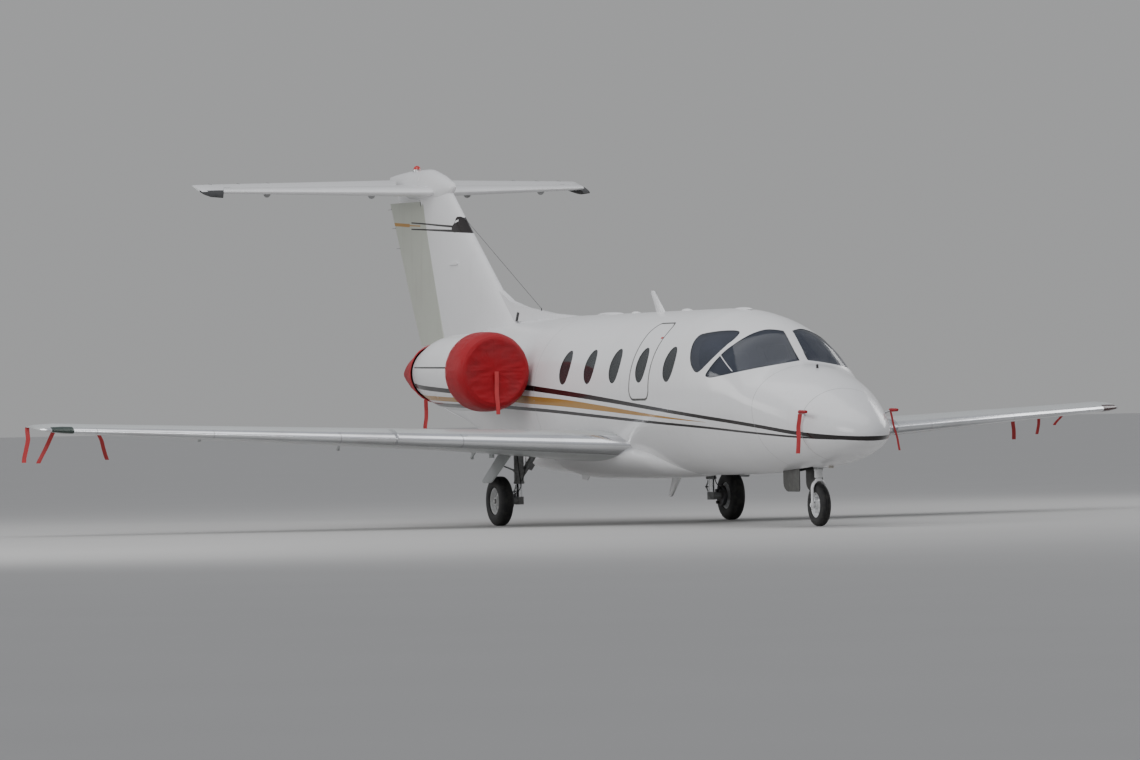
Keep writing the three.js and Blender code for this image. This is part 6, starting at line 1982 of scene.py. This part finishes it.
wingHeads = heads(*zip(*[row for row in wingSpots if not inFairing(row[0])]), .003, .0008, "cast")
addPair("wing_fasteners", wingHeads, "airframe", "cast")
print("fittings made")


# Floor, light and camera

far = 400
floorMesh = meshFrom("floor", [(-far, -far, 0), (far, -far, 0), (far, far, 0), (-far, far, 0)],
                     [[0, 1, 2, 3]])
floor = newObject("floor", floorMesh)
floorFinish, tree, shader, place, axes = newMaterial("pale floor")
tone = mixColour(tree, cloudy(tree, place, 0.4, 3), (0.47, 0.465, 0.455), (0.5, 0.495, 0.485))
setInputs(shader, Base_Color=tone, Roughness=0.7)
floorMesh.materials.append(floorFinish)

world = bpy.data.worlds.new("studio")
scene.world = world
world.use_nodes = True
sky = world.node_tree
sky.nodes.clear()
lookUp = sky.nodes.new("ShaderNodeTexCoord").outputs["Generated"]
fade = ramp(sky, addNode(sky, "ShaderNodeSeparateXYZ", Vector=lookUp).outputs["Z"], -0.02, 0.75)
glow = addNode(sky, "ShaderNodeBackground", Strength=0.58,
               Color=mixColour(sky, fade, (0.64, 0.645, 0.65), (0.93, 0.95, 1.0)))
addNode(sky, "ShaderNodeOutputWorld", Surface=glow.outputs[0])

lamps = {
    "overhead": ((2, -2, 11), (0, 0, 1.5), (16, 9), 520),
    "key": ((10, -14, 8), (2, 0, 1.4), (9, 6), 760),
    "fill": ((-9, -13, 5), (-3, 0, 2), (8, 5), 300),
    "rim": ((-4, 14, 8), (-2, 0, 2), (9, 5), 420),
}
for name, (spot, target, size, power) in lamps.items():
    lamp = bpy.data.lights.new(name, "AREA")
    lamp.shape, lamp.size, lamp.size_y, lamp.energy = "RECTANGLE", *size, power
    aim = (Vector(target) - Vector(spot)).to_track_quat("-Z", "Y").to_matrix().to_4x4()
    newObject(name, lamp).matrix_world = Matrix.Translation(spot) @ aim

# The photograph's camera: heading, height angle and roll in degrees, distance in metres, then focal length,
# picture size and the origin's place in the picture, in pixels
view = {"heading": 68.534, "height": -0.182, "roll": -1.182, "distance": 89.479, "focal": 7841.8,
        "size": (1140, 760), "origin": (614.521, 522.652)}
a, e, r = (math.radians(view[key]) for key in ("heading", "height", "roll"))
back = Vector((math.sin(a) * math.cos(e), -math.cos(a) * math.cos(e), math.sin(e)))
right = (-back).cross(zAxis).normalized()
up = right.cross(-back)
rolledRight = right * math.cos(r) + up * math.sin(r)
rolledUp = up * math.cos(r) - right * math.sin(r)
(wide, tall), (originX, originY) = view["size"], view["origin"]
shift = ((originX - wide / 2) / view["focal"], (tall / 2 - originY) / view["focal"])
eye = (rolledRight * shift[0] + rolledUp * shift[1] - back) * -view["distance"]
lens = bpy.data.cameras.new("photograph")
lens.sensor_width, lens.lens = 36, 36 * view["focal"] / wide
lens.clip_end = 2000
camera = newObject("photograph", lens)
camera.matrix_world = Matrix.Translation(eye) @ Matrix((rolledRight, rolledUp, back)).transposed().to_4x4()
scene.camera = camera

bpy.context.view_layer.update()
